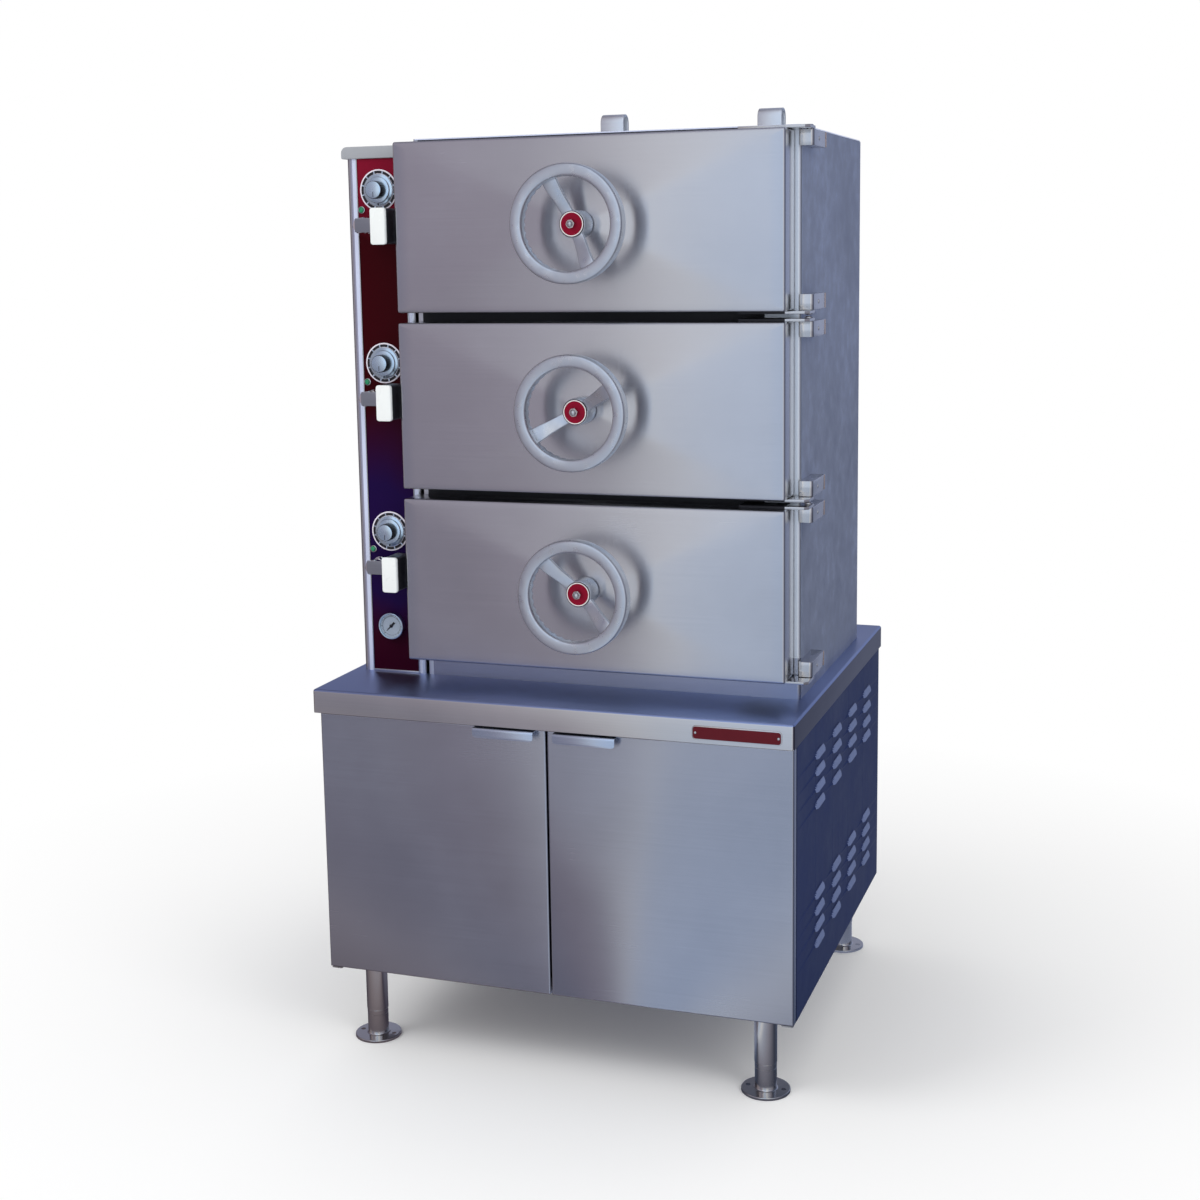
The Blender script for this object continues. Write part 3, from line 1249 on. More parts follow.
def build_housing_wrap(s):
    """Face sheet and right side folded from one sheet with a rounded corner, and three mouths cut in its
    face."""
    low, _ = box_of("front_frame")
    _, side_high = box_of("housing_right")
    left, right, back = low[0], side_high[0], side_high[1]
    corners = [(left, FACE + 0.003), (left, FACE), (right, FACE), (right, back)]
    path = rounded_path(corners, [0, 0.0028, s.post_bend, 0])
    mouths = [box_of(f"compartment_{row}") for row in ROWS]
    flange, gap = 0.018, 0.001
    cuts_x = [mouths[0][0][0] + flange - gap, mouths[0][1][0] - flange + gap]
    runs = np.flatnonzero(np.isclose(path[:, 1], FACE))
    dark_from = left + 0.010
    straight = [[x, FACE] for x in (dark_from, *cuts_x)]
    path = np.concatenate([path[: runs[0] + 1], straight, path[runs[0] + 1 :]])
    centres = [front_view(f"door_skin_{row}")[0][1] for row in ROWS]
    levels = [low[2]] + [z + side * 0.122 for z in centres for side in (-1, 1)] + [side_high[2] - s.hem]
    grid = upright(path, levels)
    mid_x = (grid[:-1, :-1, 0] + grid[:-1, 1:, 0]) / 2
    mid_y = (grid[:-1, :-1, 1] + grid[:-1, 1:, 1]) / 2
    in_face = (mid_x > cuts_x[0]) & (mid_x < cuts_x[1]) & (mid_y < FACE + 1e-4)
    in_mouth = (np.arange(len(levels) - 1) % 2 == 1)[:, None]
    keep = ~(in_face & in_mouth)
    form = Form().sheet(grid, keep)
    level = np.arange(len(levels) - 1)[:, None]
    behind_doors = (mid_x > dark_from) & (mid_x < cuts_x[1]) & (mid_y < FACE + 1e-4)
    under_doors = (level == 0) & (mid_x > dark_from) & (mid_y < FACE + s.post_bend)
    finish = np.where(under_doors, 3, (mid_y > FACE + s.post_bend) + 2 * (behind_doors & (level > 0)))
    form.paint(finish[keep])
    nodes = ["front_frame", "housing_right"]
    finishes = ["face_steel", "housing_steel", "shadow_steel", "base_steel"]
    wrap = make_piece("housing_wrap", form, finishes, "root", "door_steel", nodes, outward=(1, -1, 0))
    thicken(wrap, s.wall)
    forks = Form()
    tongue = box_of("door_skin_top")[0][0] + TONGUE_FROM_EDGE
    for z in centres:
        for near, far in ((-0.022, -0.014), (0.014, 0.022)):
            ends = (tongue - 0.002, low[1], z + near), (tongue + 0.016, FACE + 0.0005, z + far)
            block(forks, *ends, 0.002, 0.001)
    make_piece("door_forks", forks, "bright_steel", "root", "door_steel")


def build_housing_top(s):
    """Top sheet with a rounded edge that comes down to the sides."""
    _, side_high = box_of("housing_right")
    left, right = box_of("front_frame")[0][0], side_high[0]
    centre = ((left + right) / 2, (FACE + side_high[1]) / 2)
    half = ((right - left) / 2, (side_high[1] - FACE) / 2)
    rings = pan_rings(half, s.post_bend, hemmed(s.hem - 0.0004, s.hem - 0.0008, 0.0014), 1, 6)
    rings = facing_up(rings, centre, side_high[2])
    form = Form().loft(rings)
    form.paint(quad_middles(rings)[..., 2] < side_high[2] - 0.0002)
    make_piece("housing_lid", form, ["face_steel", "trim_satin"], "root", "door_steel", ["housing_top"])


def bar_rings(line, x, half_widths, half_thickness, corner):
    """Rounded flat bar carried along a line in Y and Z. It stands square to the line and may change its
    width."""
    line = np.asarray(line, float)
    along = np.gradient(line, axis=0)
    along /= np.linalg.norm(along, axis=1, keepdims=True)
    across = np.stack([-along[:, 1], along[:, 0]], -1)
    rings = []
    for place, out, half in zip(line, across, np.broadcast_to(half_widths, len(line))):
        section = rectangle(half, half_thickness, corner, 0.0, 4)
        flat = place + section[:, 1:] * out
        rings.append(np.stack([x + section[:, 0], flat[:, 0], flat[:, 1]], -1))
    return np.array(rings)


def build_straps():
    """Lifting straps: a flat bar bent to an upside-down U, with a weld bead along each foot."""
    low, high = box_of("lifting_straps")
    form = Form()
    outer, wall = (high[1] - low[1]) / 2, 0.005
    middle, radius = (high[1] + low[1]) / 2, (high[1] - low[1] - wall) / 2
    turn = np.linspace(0, math.pi, 15)
    arch = np.stack([middle - radius * np.cos(turn), high[2] - outer + radius * np.sin(turn)], -1)
    line = np.concatenate([[[middle - radius, low[2]]], arch, [[middle + radius, low[2]]]])
    for x in (low[0] + 0.025, high[0] - 0.025):
        form.loft(bar_rings(line, x, 0.025, wall / 2, 0.002))
        for y in (low[1] + wall + 0.001, high[1] - wall - 0.001, low[1] - 0.0005, high[1] + 0.0005):
            rod(form, "x", (y, low[2]), 0.0028, x - 0.022, x + 0.022, 0.0020, 12)
    make_piece("straps", form, "face_steel", "root", "bright_steel", ["lifting_straps"], smooth=40.0)


def screw_head(form, axis, centre, radius, seat, top, finish=0):
    """Domed head with a hexagonal socket: the head's profile is an ellipse from its rim to the socket's
    edge."""
    rise = np.linspace(0, math.pi / 2, 6)[:-1]
    height, socket = top - seat, seat + (top - seat) * 0.3
    dome = [(radius * (0.55 + 0.45 * math.cos(t)), seat + height * (0.25 + 0.75 * math.sin(t))) for t in rise]
    profile = [(radius, seat)] + dome
    profile += [(radius * 0.52, top), (radius * 0.45, top), (radius * 0.42, socket), (ON_AXIS, socket)]
    turned(form, axis, centre, profile, 24, finish=finish)


def build_hinge_blocks():
    """Machined blocks with a rounded front corner, each with its hinge pin and two socket screws."""
    _, high = box_of("hinge_blocks")
    side = box_of("housing_right")[1][0]
    form = Form()
    rear = HINGE[1] - 0.012 + 0.104
    front = HINGE[1] - 0.012
    for row in ROWS:
        skin_low, skin_high = box_of(f"door_skin_{row}")
        for upper, level in ((False, skin_low[2]), (True, skin_high[2])):
            sign = 1 if upper else -1
            near = level - sign * 0.00075
            ends = sorted((near, near - sign * 0.027))
            corners = [(side, front), (high[0], front), (high[0], rear), (side, rear)]
            outline = rounded_path(corners, [0.0012, 0.0065, 0.0025, 0.0006], closed=True)
            plate(form, "z", outline, ends, 0.0006)
            tail_low = (side, rear - 0.0002, ends[0] + 0.0012)
            tail_high = (high[0] - 0.0006, rear + 0.0012, ends[1] - 0.0012)
            block(form, tail_low, tail_high, 0.001, 0.0005, "z", 2)
            strip_low = (high[0] - 0.0012, rear - 0.0085, ends[0] + 0.0005)
            strip_high = (high[0] + 0.0003, rear - 0.0015, ends[1] - 0.0005)
            block(form, strip_low, strip_high, 0.0005, 0.0004, "z", 2)
            far = level + sign * 0.005
            rod(form, "z", HINGE, 0.00475, near, far + sign * 0.0005, 0.0004, 28, 1)
            screw_head(form, "z", HINGE, 0.0075, far + sign * 0.0004, far + sign * 0.0029, 1)
            middle = (ends[0] + ends[1]) / 2
            screw_head(form, "x", (front + 0.045, middle), 0.0042, high[0] - 0.0003, high[0] + 0.0012, 1)
    finishes = ["bright_steel", "chrome", "warm_steel"]
    make_piece("hinges", form, finishes, "root", "hinge_steel", ["hinge_blocks"])


# Control column


def build_column(s):
    """Folded column with trims turned in at the front, its cap, and the panel between the trims."""
    low, high = box_of("column_shell")
    panel_low, panel_high = box_of("control_panel")
    split = panel_low[0] + (low[0] - panel_low[0]) * 0.42
    corners = [(panel_low[0], FACE), (split, FACE), (low[0], FACE), (low[0], high[1]), (high[0], high[1])]
    corners += [(high[0], FACE), (panel_high[0], FACE)]
    path = rounded_path(corners, [0, 0, s.column_bend * 1.6, 0.004, 0.004, s.column_bend, 0])
    form = Form().sheet(upright(path, [low[2], high[2]]))
    middle = (path[:-1] + path[1:]) / 2
    in_face = middle[:, 1] < FACE + 5e-6
    form.paint(np.where(in_face, 1 + (middle[:, 0] < split), 0))
    finishes = ["column_steel", "trim_satin", "trim_dull"]
    shell = make_piece("column", form, finishes, "root", "door_steel", ["column_shell"])
    thicken(shell, s.wall)
    cap_low, cap_high = box_of("column_cap")
    cap = Form()
    (left, low_y, foot), (right, high_y, top) = cap_low, cap_high
    corners = [(left, foot), (right, foot), (right, top), (left, top)]
    outline = rounded_path(corners, [0.003, 0.0015, 0.003, 0.011], closed=True)
    plate(cap, "y", outline, (low_y, high_y), 0.0014)
    make_piece("cap", cap, "cap_paint", "root", "cap_paint", ["column_cap"])
    face = Form()
    inset = 0.0004
    block(face, panel_low + (inset, 0.0002, 0), panel_high - (inset, 0, inset), 0.0005, 0.0003, "y")
    strip = Form()
    for x in (panel_low[0], panel_high[0]):
        rod(strip, "z", (x, FACE - 0.0004), 0.0011, panel_low[2], panel_high[2], 0.0003, 12)
    foot = (panel_low[0], FACE - 0.0012, panel_low[2]), (panel_high[0], FACE + 0.001, panel_low[2] + 0.004)
    block(strip, *foot, 0.0008, 0.0006)
    make_piece("panel", face, "control_red", "root", "panel_red", ["control_panel"])
    make_piece("panel_trim", strip, "bright_steel", "root", "door_steel")


def marks(form, centre, radii, width, span, turns, finish):
    """Small raised bars, one turned to each angle round a dial."""
    middle, half = (radii[0] + radii[1]) / 2, (radii[1] - radii[0]) / 2
    insets, places = edge_rings(*span, 0.0001, 2)
    outlines = [rectangle(width / 2, half, width * 0.2, i, 2) + (0, middle) for i in insets]
    bar = [lift("y", outline, y) for outline, y in zip(outlines, places)]
    for turn in turns:
        form.loft(spun(np.array(bar), turn, centre), finish=finish)


def build_timer(row, s):
    """Printed dial with a black ring broken by marks, and the knob with its stepped skirt and ribbed grip."""
    node = f"timer_knob_{row}"
    centre, _ = front_view(node)
    front = FACE - 0.0015
    dial = Form()
    r = s.dial_radius
    rod(dial, "y", centre, r, front, FACE + 0.0002, 0.0005, 72, 0)
    turned(dial, "y", centre, band(r * 0.80, r * 0.93, front + 0.0005, front - 0.0001), 72, 1, wrap=True)
    turns = np.arange(s.ticks) * 360 / s.ticks + 180 / s.ticks
    marks(dial, centre, (r * 0.795, r * 0.935), 0.0026, (front - 0.00025, front + 0.0004), turns, 2)
    finishes = ["dial_white", "black_plastic", "dial_silver"]
    make_piece(f"dial_{row}", dial, finishes, "root", "knob_plastic")
    rear = front - 0.0003
    skirt = s.skirt_radius
    step = [(skirt * 0.99, rear), (skirt, rear - 0.0006), (skirt, rear - 0.0022)]
    step += [(skirt * 0.97, rear - 0.0030), (skirt * 0.84, rear - 0.0034), (skirt * 0.83, rear - 0.0036)]
    step += [(skirt * 0.80, rear - 0.0056), (skirt * 0.78, rear - 0.0060)]
    step += [(s.knob_radius * 0.9, rear - 0.0060)]
    knob = Form()
    turned(knob, "y", centre, step, 72, finish=0)
    turn = np.arange(96) * FULL_TURN / 96
    rib = 1 - 0.035 * (0.5 - 0.5 * np.cos(24 * turn))
    depth = box_of(node)[0][1]
    stack = [(1.0, rear - 0.0055), (1.0, depth + 0.0022), (0.985, depth + 0.0008)]
    grip = []
    for scale, y in stack:
        radius = s.knob_radius * scale * rib
        grip.append(np.stack([radius * np.cos(turn), np.full(96, y), radius * np.sin(turn)], -1))
    knob.loft(spun(np.array(grip), 0, centre), finish=1)
    r = s.knob_radius
    face = [(r * 0.93, depth + 0.0012), (r * 0.92, depth + 0.0003)]
    face += [(r * 0.86, depth), (ON_AXIS, depth + 0.0003)]
    turned(knob, "y", centre, face, 72, finish=0)
    marks(knob, centre, (skirt * 0.85, skirt * 0.96), 0.0022, (rear - 0.0040, rear - 0.0030), [180], 1)
    marks(knob, centre, (0.004, s.knob_radius * 0.8), 0.0012, (depth - 0.0001, depth + 0.0006), [180], 1)
    finishes = ["dial_silver", "black_plastic"]
    make_piece(f"knob_{row}_moulded", knob, finishes, f"knob_{row}", "knob_plastic", [node])


def build_timer_cases():
    """Moulded cases behind the panel with a rounded front step."""
    form = Form()
    rear = box_of("timer_bodies")[1][1]
    for row in ROWS:
        x, z = front_view(f"timer_knob_{row}")[0]
        for half, start, end in ((0.03, FACE + 0.002, rear - 0.006), (0.025, rear - 0.007, rear)):
            block(form, (x - half, start, z - half), (x + half, end, z + half), 0.004, 0.0015, "y")
    make_piece("timer_cases", form, "black_plastic", "root", "knob_plastic", ["timer_bodies"])


def build_lamps(s):
    """Lamps: a stepped bright bezel, a domed green lens and the body behind the panel."""
    form = Form()
    for row in ROWS:
        centre = front_view(f"timer_knob_{row}")[0] + LAMP_FROM_TIMER
        r = s.lamp_radius
        bezel = [(r, FACE + 0.0002), (r, FACE - 0.0012), (r * 0.93, FACE - 0.0020), (r * 0.78, FACE - 0.0022)]
        bezel += [(r * 0.74, FACE - 0.0014), (r * 0.74, FACE + 0.0002)]
        turned(form, "y", centre, bezel, 40, 0, wrap=True)
        rise = np.linspace(0, math.pi / 2 * 0.99, 7)
        lens = [(r * 0.74, FACE + 0.0002), (r * 0.74, FACE - 0.0012)]
        lens += [(r * 0.74 * math.cos(t), FACE - 0.0012 - 0.0027 * math.sin(t)) for t in rise]
        turned(form, "y", centre, lens, 40, finish=1)
        rod(form, "y", centre, 0.005, FACE + 0.0001, FACE + 0.022, 0.0006, 24, 2)
    finishes = ["bright_steel", "lamp_green", "black_plastic"]
    make_piece("lamps", form, finishes, "root", "lamp_green", ["indicator_lamps"])


def build_lever(row, s):
    """Lever: a rounded flat arm folded back at its end, a bonnet with a gland nut, the stem, and the two-part
    grip."""
    node = f"steam_lever_{row}"
    low, high = box_of(node)
    x, z = lever_stem(row)
    start, bottom, top = x - ARM_BEFORE_STEM, z - ARM_HALF_HEIGHT, z + ARM_HALF_HEIGHT
    form = Form()
    corners = [(start, bottom), (high[0], bottom), (high[0], top), (start, top)]
    plate(form, "y", rounded_path(corners, s.arm_corner, closed=True), (low[1], low[1] + 0.0035), 0.0008)
    fold = (start, low[1] + 0.001, bottom + 0.001), (start + 0.003, low[1] + 0.012, top - 0.001)
    block(form, *fold, 0.001, 0.0008, "z")
    rod(form, "y", (x, z), BONNET_RADIUS, FACE - 0.0040, FACE - 0.0005, 0.0010, 48, 1)
    form.loft(spun(nut_rings(0.0258, FACE - 0.0155, FACE - 0.0042, 0), 8, (x, z)), finish=1)
    rod(form, "y", (x, z), 0.0125, FACE - 0.0310, FACE - 0.0150, 0.0012, 48, 1)
    form.loft(spun(nut_rings(0.0270, low[1] + 0.003, FACE - 0.0300, 0), 22, (x, z)), finish=1)
    rod(form, "y", (x, z), 0.0049, low[1] + 0.003, high[1], 0.0006, 28, 1)
    make_piece(f"lever_{row}_arm", form, ["lever_steel", "chrome"], f"lever_{row}", "bright_steel", [node])
    name = f"lever_grip_{row}"
    grip_low, grip_high = box_of(name)
    centre, half = front_view(name)
    split = grip_low[1] + s.grip_front
    grip = Form()
    slab(grip, "y", centre, half - 0.0006, s.grip_corner, (split - 0.0005, grip_high[1]), 0.0012, 1)
    slab(grip, "y", centre, half, s.grip_corner, (grip_low[1], split), 0.0022, 0)
    make_piece(f"grip_{row}", grip, ["grip_white", "black_plastic"], f"lever_{row}", "grip_plastic", [name])


def build_gauge(s):
    """Gauge: a case with a rolled bezel, a dial with a printed scale, a tapered needle and a glass."""
    low, high = box_of("gauge_body")
    centre, (r, _) = front_view("gauge_body")
    dial = low[1] + 0.005
    form = Form()
    turn = np.linspace(0, math.pi, 9)
    lip = [(r - 0.0015 + 0.0015 * math.cos(t), low[1] + 0.0015 - 0.0015 * math.sin(t)) for t in turn]
    case = [(r * 0.93, FACE), (r * 0.99, FACE - 0.0010), (r * 0.99, low[1] + 0.004), *lip]
    case += [(r - 0.003, dial), (ON_AXIS, dial)]
    turned(form, "y", centre, case, 72, finish=0)
    rod(form, "y", centre, 0.022, FACE - 0.0005, high[1], 0.001, 48, 2)
    face = [(r - 0.0031, dial + 0.0003), (r - 0.0031, dial - 0.0004), (ON_AXIS, dial - 0.0004)]
    turned(form, "y", centre, face, 72, finish=1)
    turned(form, "y", centre, band(r * 0.70, r * 0.715, dial, dial - 0.0005), 72, 2, wrap=True)
    turns = np.linspace(-135, 135, s.gauge_ticks)
    marks(form, centre, (r * 0.72, r * 0.80), 0.0005, (dial - 0.0005, dial), turns, 2)
    marks(form, centre, (r * 0.72, r * 0.85), 0.0009, (dial - 0.0005, dial), turns[::5], 2)
    finishes = ["dial_silver", "gauge_white", "black_plastic"]
    make_piece("gauge", form, finishes, "root", "gauge_chrome", ["gauge_body"])
    needle = Form()
    front = dial - 0.0017
    points = [(-0.0023, 0.0095), (-0.0015, 0), (-0.0004, -0.0142)]
    points += [(-x, z) for x, z in points[::-1]]
    insets, places = edge_rings(front, front + 0.0007, 0.0001, 2)
    rings = np.array([lift("y", offset_loop(np.array(points), i), y) for i, y in zip(insets, places)])
    needle.loft(spun(rings, 45, centre))
    rod(needle, "y", centre, 0.0034, front - 0.0008, front + 0.0009, 0.0005, 24)
    rod(needle, "y", centre, 0.0014, front, dial + 0.004, 0.0003, 16)
    make_piece("needle_pointer", needle, "black_plastic", "needle", "knob_plastic", ["gauge_needle"])
    glass = Form()
    rod(glass, "y", centre, r - 0.0033, low[1] + 0.0009, low[1] + 0.0015, 0.0001, 64)
    make_piece("gauge_glass", glass, "clear_glass", "root", "gauge_chrome")


# Base cabinet


def build_deck(s):
    """Deck folded down all round to the apron, with a return along the front's lower edge."""
    low, high = box_of("deck")
    centre, half = ((low + high) / 2)[:2], ((high - low) / 2)[:2]
    rings = pan_rings(half, s.deck_bend, hemmed(high[2] - low[2], s.deck_bend, s.wall), 1, 8)
    rings = facing_up(rings, centre, high[2])
    form = Form().loft(rings)
    middle = quad_middles(rings)
    apron = middle[..., 2] < high[2] - s.deck_bend * 0.8
    at_side = np.abs(middle[..., 0] - centre[0]) > half[0] - s.deck_bend * 0.5
    form.paint(apron.astype(int) + (apron & at_side))
    under = (low[0] + 0.001, low[1] + 0.001, low[2]), (high[0] - 0.001, low[1] + 0.015, low[2] + s.wall)
    block(form, *under, 0.001, 0.0008, "z", 1)
    finishes = ["deck_steel", "apron_steel", "side_steel"]
    make_piece("deck_folded", form, finishes, "root", "door_steel", ["deck"])


def build_nameplate():
    """Blank plate in a bright frame, held by two screws."""
    low, high = box_of("nameplate")
    centre, half = front_view("nameplate")
    form = Form()
    slab(form, "y", centre, half, half[1] * 0.5, (low[1] + 0.0003, high[1]), 0.0006, 0)
    slab(form, "y", centre, half - 0.0017, half[1] * 0.4, (low[1], high[1] - 0.0004), 0.0004, 1)
    for side in (-1, 1):
        place = (centre[0] + side * (half[0] - 0.006), centre[1])
        screw_head(form, "y", place, 0.0024, low[1] + 0.0002, low[1] - 0.0009)
    make_piece("plate", form, ["bright_steel", "plate_red"], "root", "plate_red", ["nameplate"])


def build_base_door(side, s):
    """Slab door folded as a pan, its hinge ends, and the pull bent forward and down from its top edge."""
    node = f"base_door_{side}"
    low, high = box_of(node)
    sign = -1 if side == "left" else 1
    inner, outer = (high[0], low[0]) if side == "left" else (low[0], high[0])
    face = low[1] + 0.020
    centre = (low[0] + high[0]) / 2, (low[2] + high[2]) / 2
    half = (high[0] - low[0]) / 2, (high[2] - low[2]) / 2
    rings = pan_rings(half, 0.002, folded(high[1] - face, s.base_bend, 0.0015, 0.008), 1, 5)
    form = Form().loft(facing_front(rings, centre, face))
    for start, end in ((low[2] + 0.0016, low[2] + 0.021), (high[2] - 0.021, high[2] - 0.0016)):
        ends = sorted((outer - sign * 0.0016, outer - sign * 0.018))
        block(form, (ends[0], face + 0.0018, start), (ends[1], high[1] - 0.0005, end), 0.0015, 0.001)
    wall = 0.0015
    level, front = high[2] - wall / 2, low[1] + wall / 2
    line = [(face + 0.001, level), (front, level), (front, high[2] - 0.018)]
    line = rounded_path(line, [0, 0.0035, 0], 8)
    drop = np.linspace(0, 1, 9)[1:, None]
    line = np.concatenate([line[:-1], line[-2] + (line[-1] - line[-2]) * drop])
    to_end = line[:, 1] - line[-1, 1]
    corner = 0.006
    narrowing = corner - np.sqrt(np.clip(corner**2 - np.clip(corner - to_end, 0, corner) ** 2, 0, None))
    form.loft(bar_rings(line, inner + sign * 0.0755, 0.0585 - narrowing, wall / 2, 0.0006), finish=1)
    name = f"base_door_{side}_folded"
    make_piece(name, form, ["base_steel", "pull_steel"], f"base_door_{side}_body", "door_steel", [node])


def louvre_lines(centres, half, end):
    """Lines across a row of louvres: close together at each louvre's two ends."""
    spread = end * np.array([0, 0.08, 0.25, 0.5, 0.75, 1.0])
    offsets = np.concatenate([-half + spread, (half - spread)[::-1]])
    return (np.asarray(centres)[:, None] + offsets).reshape(-1)


def build_side_panel(side, s):
    """Side panel with pressed louvres. A louvre's height over the sheet is a quarter ellipsoid: reach times
    the root of one less the squares of how far a point is from the open lower edge and from the louvre's
    level part. The two lines at a louvre's lower edge lie at one level, and only the upper one is pressed
    out, which leaves it open."""
    node = f"side_panel_{side}"
    low, high = box_of(node)
    sign = -1 if side == "left" else 1
    deck_low, deck_high = box_of("deck")
    centres = deck_low[1] + s.from_front + s.column_pitch * np.arange(s.columns)
    drops = (s.upper_drop, s.lower_drop)
    tops = [deck_high[2] - drop - s.row_pitch * i + s.height / 2 for drop in drops for i in range(s.rows)]
    end = s.height * 0.9
    ys = np.concatenate([[low[1]], louvre_lines(centres, s.length / 2, end), [high[1]]])
    fall = np.array([0, 0.05, 0.15, 0.3, 0.5, 0.75, 1.0])
    levels = [(high[2], 0.0, 0)]
    for top in tops:
        levels += [(top - s.height * f, f, 1) for f in fall] + [(top - s.height, 0.0, 0)]
    levels.append((low[2], 0.0, 0))
    zs, part, pressed = np.array(levels).T
    away = np.clip(1 - (s.length / 2 - np.abs(ys[:, None] - centres)) / end, 0, None)
    away = np.min(away, axis=1)
    bulge = np.sqrt(np.clip(1 - (1 - part[:, None]) ** 2 - away[None] ** 2, 0, None))
    height = s.reach * bulge * pressed[:, None]
    outer = (high if sign > 0 else low)[0] - sign * s.reach
    x = outer + sign * height
    grid = np.stack([x, np.broadcast_to(ys, x.shape), np.broadcast_to(zs[:, None], x.shape)], -1)
    keep = np.ones((len(zs) - 1, len(ys) - 1), bool)
    keep[np.flatnonzero(np.diff(zs) > -1e-9)] = False
    form = Form().sheet(grid, keep)
    proud = (height[:-1, :-1] + height[1:, :-1] + height[:-1, 1:] + height[1:, 1:])[keep] > s.reach
    form.paint(proud)
    finishes = ["side_paint", "louvre_paint"]
    shading = {"outward": (sign, 0, 0), "smooth": 50.0}
    piece = make_piece(f"side_{side}", form, finishes, "root", "side_paint", [node], **shading)
    thicken(piece, 0.0012)
    edge = Form()
    for y in (low[1] + 0.0008, high[1] - 0.0008):
        inward = 1 if y < 0 else -1
        xs = sorted((outer - sign * 0.0010, outer - sign * 0.0200))
        ends = sorted((y, y + inward * 0.0012))
        block(edge, (xs[0], ends[0], low[2]), (xs[1], ends[1], high[2]), 0.0005, 0.0004)
    make_piece(f"side_{side}_flanges", edge, "side_paint", "root", "side_paint")


def leg_centres():
    """X and Y of the four legs."""
    low, high = box_of("leg_tubes")
    r = LEG_RADIUS
    return [(x, y) for x in (low[0] + r, high[0] - r) for y in (low[1] + r, high[1] - r)]


def build_legs():
    """Polished leg tubes with a rolled lower lip, and turned feet whose flanges are drilled for floor
    bolts."""
    low, high = box_of("leg_tubes")
    foot_low, _ = box_of("foot_flanges")
    r = LEG_RADIUS
    tubes, feet, holes = Form(), Form(), []
    for centre in leg_centres():
        lip = [(r - 0.0006, low[2]), (r, low[2] + 0.0006), (r, high[2] - 0.0005), (r - 0.0005, high[2])]
        turned(tubes, "z", centre, lip, 64)
        body, flange, plate_top = r - 0.00065, 0.0445, 0.005
        turn = np.linspace(0, math.pi / 2, 5)
        rim = [(flange - 0.0016 * (1 - math.cos(t)), plate_top - 0.0016 * (1 - math.sin(t))) for t in turn]
        fillet = [(body + 0.0035 * (1 - math.sin(t)), plate_top + 0.0035 * (1 - math.cos(t))) for t in turn]
        profile = [(flange, foot_low[2])] + rim + fillet
        neck = body - 0.0007
        profile += [(body, low[2] - 0.0105), (neck, low[2] - 0.0100), (neck, low[2] - 0.0090)]
        profile += [(body, low[2] - 0.0085), (body, low[2] - 0.0008), (body - 0.0008, low[2])]
        turned(feet, "z", centre, profile, 72)
        holes += [("z", (centre[0] + side * 0.033, centre[1]), 0.0045, (-0.001, 0.02)) for side in (-1, 1)]
    make_piece("legs", tubes, "bright_steel", "root", "bright_steel", ["leg_tubes"])
    make_piece("feet", feet, "bright_steel", "root", "bright_steel", ["foot_flanges"], holes=holes)


# Inside


def build_batts():
    """Mineral wool batts: closed pads whose two faces are full in the middle and thin out at the rim by a
    fourth power, with shallow quilted waves."""
    low, high = box_of("insulation_blankets")
    right = (high[0] - 0.022, high[0])
    left = (low[0], low[0] + 0.022)
    for name, (start, end) in (("left", left), ("right", right)):
        v, w = np.linspace(-1, 1, 41), np.linspace(-1, 1, 73)
        vv, ww = np.meshgrid(v, w, indexing="ij")
        full = (1 - np.abs(vv) ** 10) * (1 - np.abs(ww) ** 14)
        quilt = 1 - 0.10 * (0.5 - 0.5 * np.cos(9 * math.pi * vv) * np.cos(17 * math.pi * ww))
        half = 0.0105 * (0.30 + 0.70 * np.clip(full, 0, 1) ** 0.35) * quilt
        y = (low[1] + high[1]) / 2 + vv * ((high[1] - low[1]) / 2 - 0.001)
        z = (low[2] + high[2]) / 2 + ww * ((high[2] - low[2]) / 2 - 0.001)
        middle = (start + end) / 2
        form = Form()
        front = np.stack([middle + half, y, z], -1)
        back = np.stack([middle - half, y, z], -1)
        form.sheet(front)
        form.sheet(back)
        rows, columns = vv.shape
        index = np.arange(rows * columns).reshape(rows, columns)
        loop = np.concatenate([index[0], index[1:, -1], index[-1, -2::-1], index[-2:0:-1, 0]])
        count = rows * columns
        rim = np.stack([loop, np.roll(loop, -1), np.roll(loop, -1) + count, loop + count], -1)
        form.faces.extend([tuple(face) for face in rim])
        form.finish.extend([0] * len(rim))
        nodes = ["insulation_blankets"] if name == "left" else []
        holes = []
        if name == "left":
            stems = [lever_stem(row)[1] for row in ROWS]
            holes = [("x", (FACE + VALVE_DEPTH, z), 0.0112, (start - 0.005, end + 0.005)) for z in stems]
        extras = {"smooth": 80.0, "holes": holes}
        batt = make_piece(f"batt_{name}", form, "mineral_wool", "root", "wool", nodes, **extras)


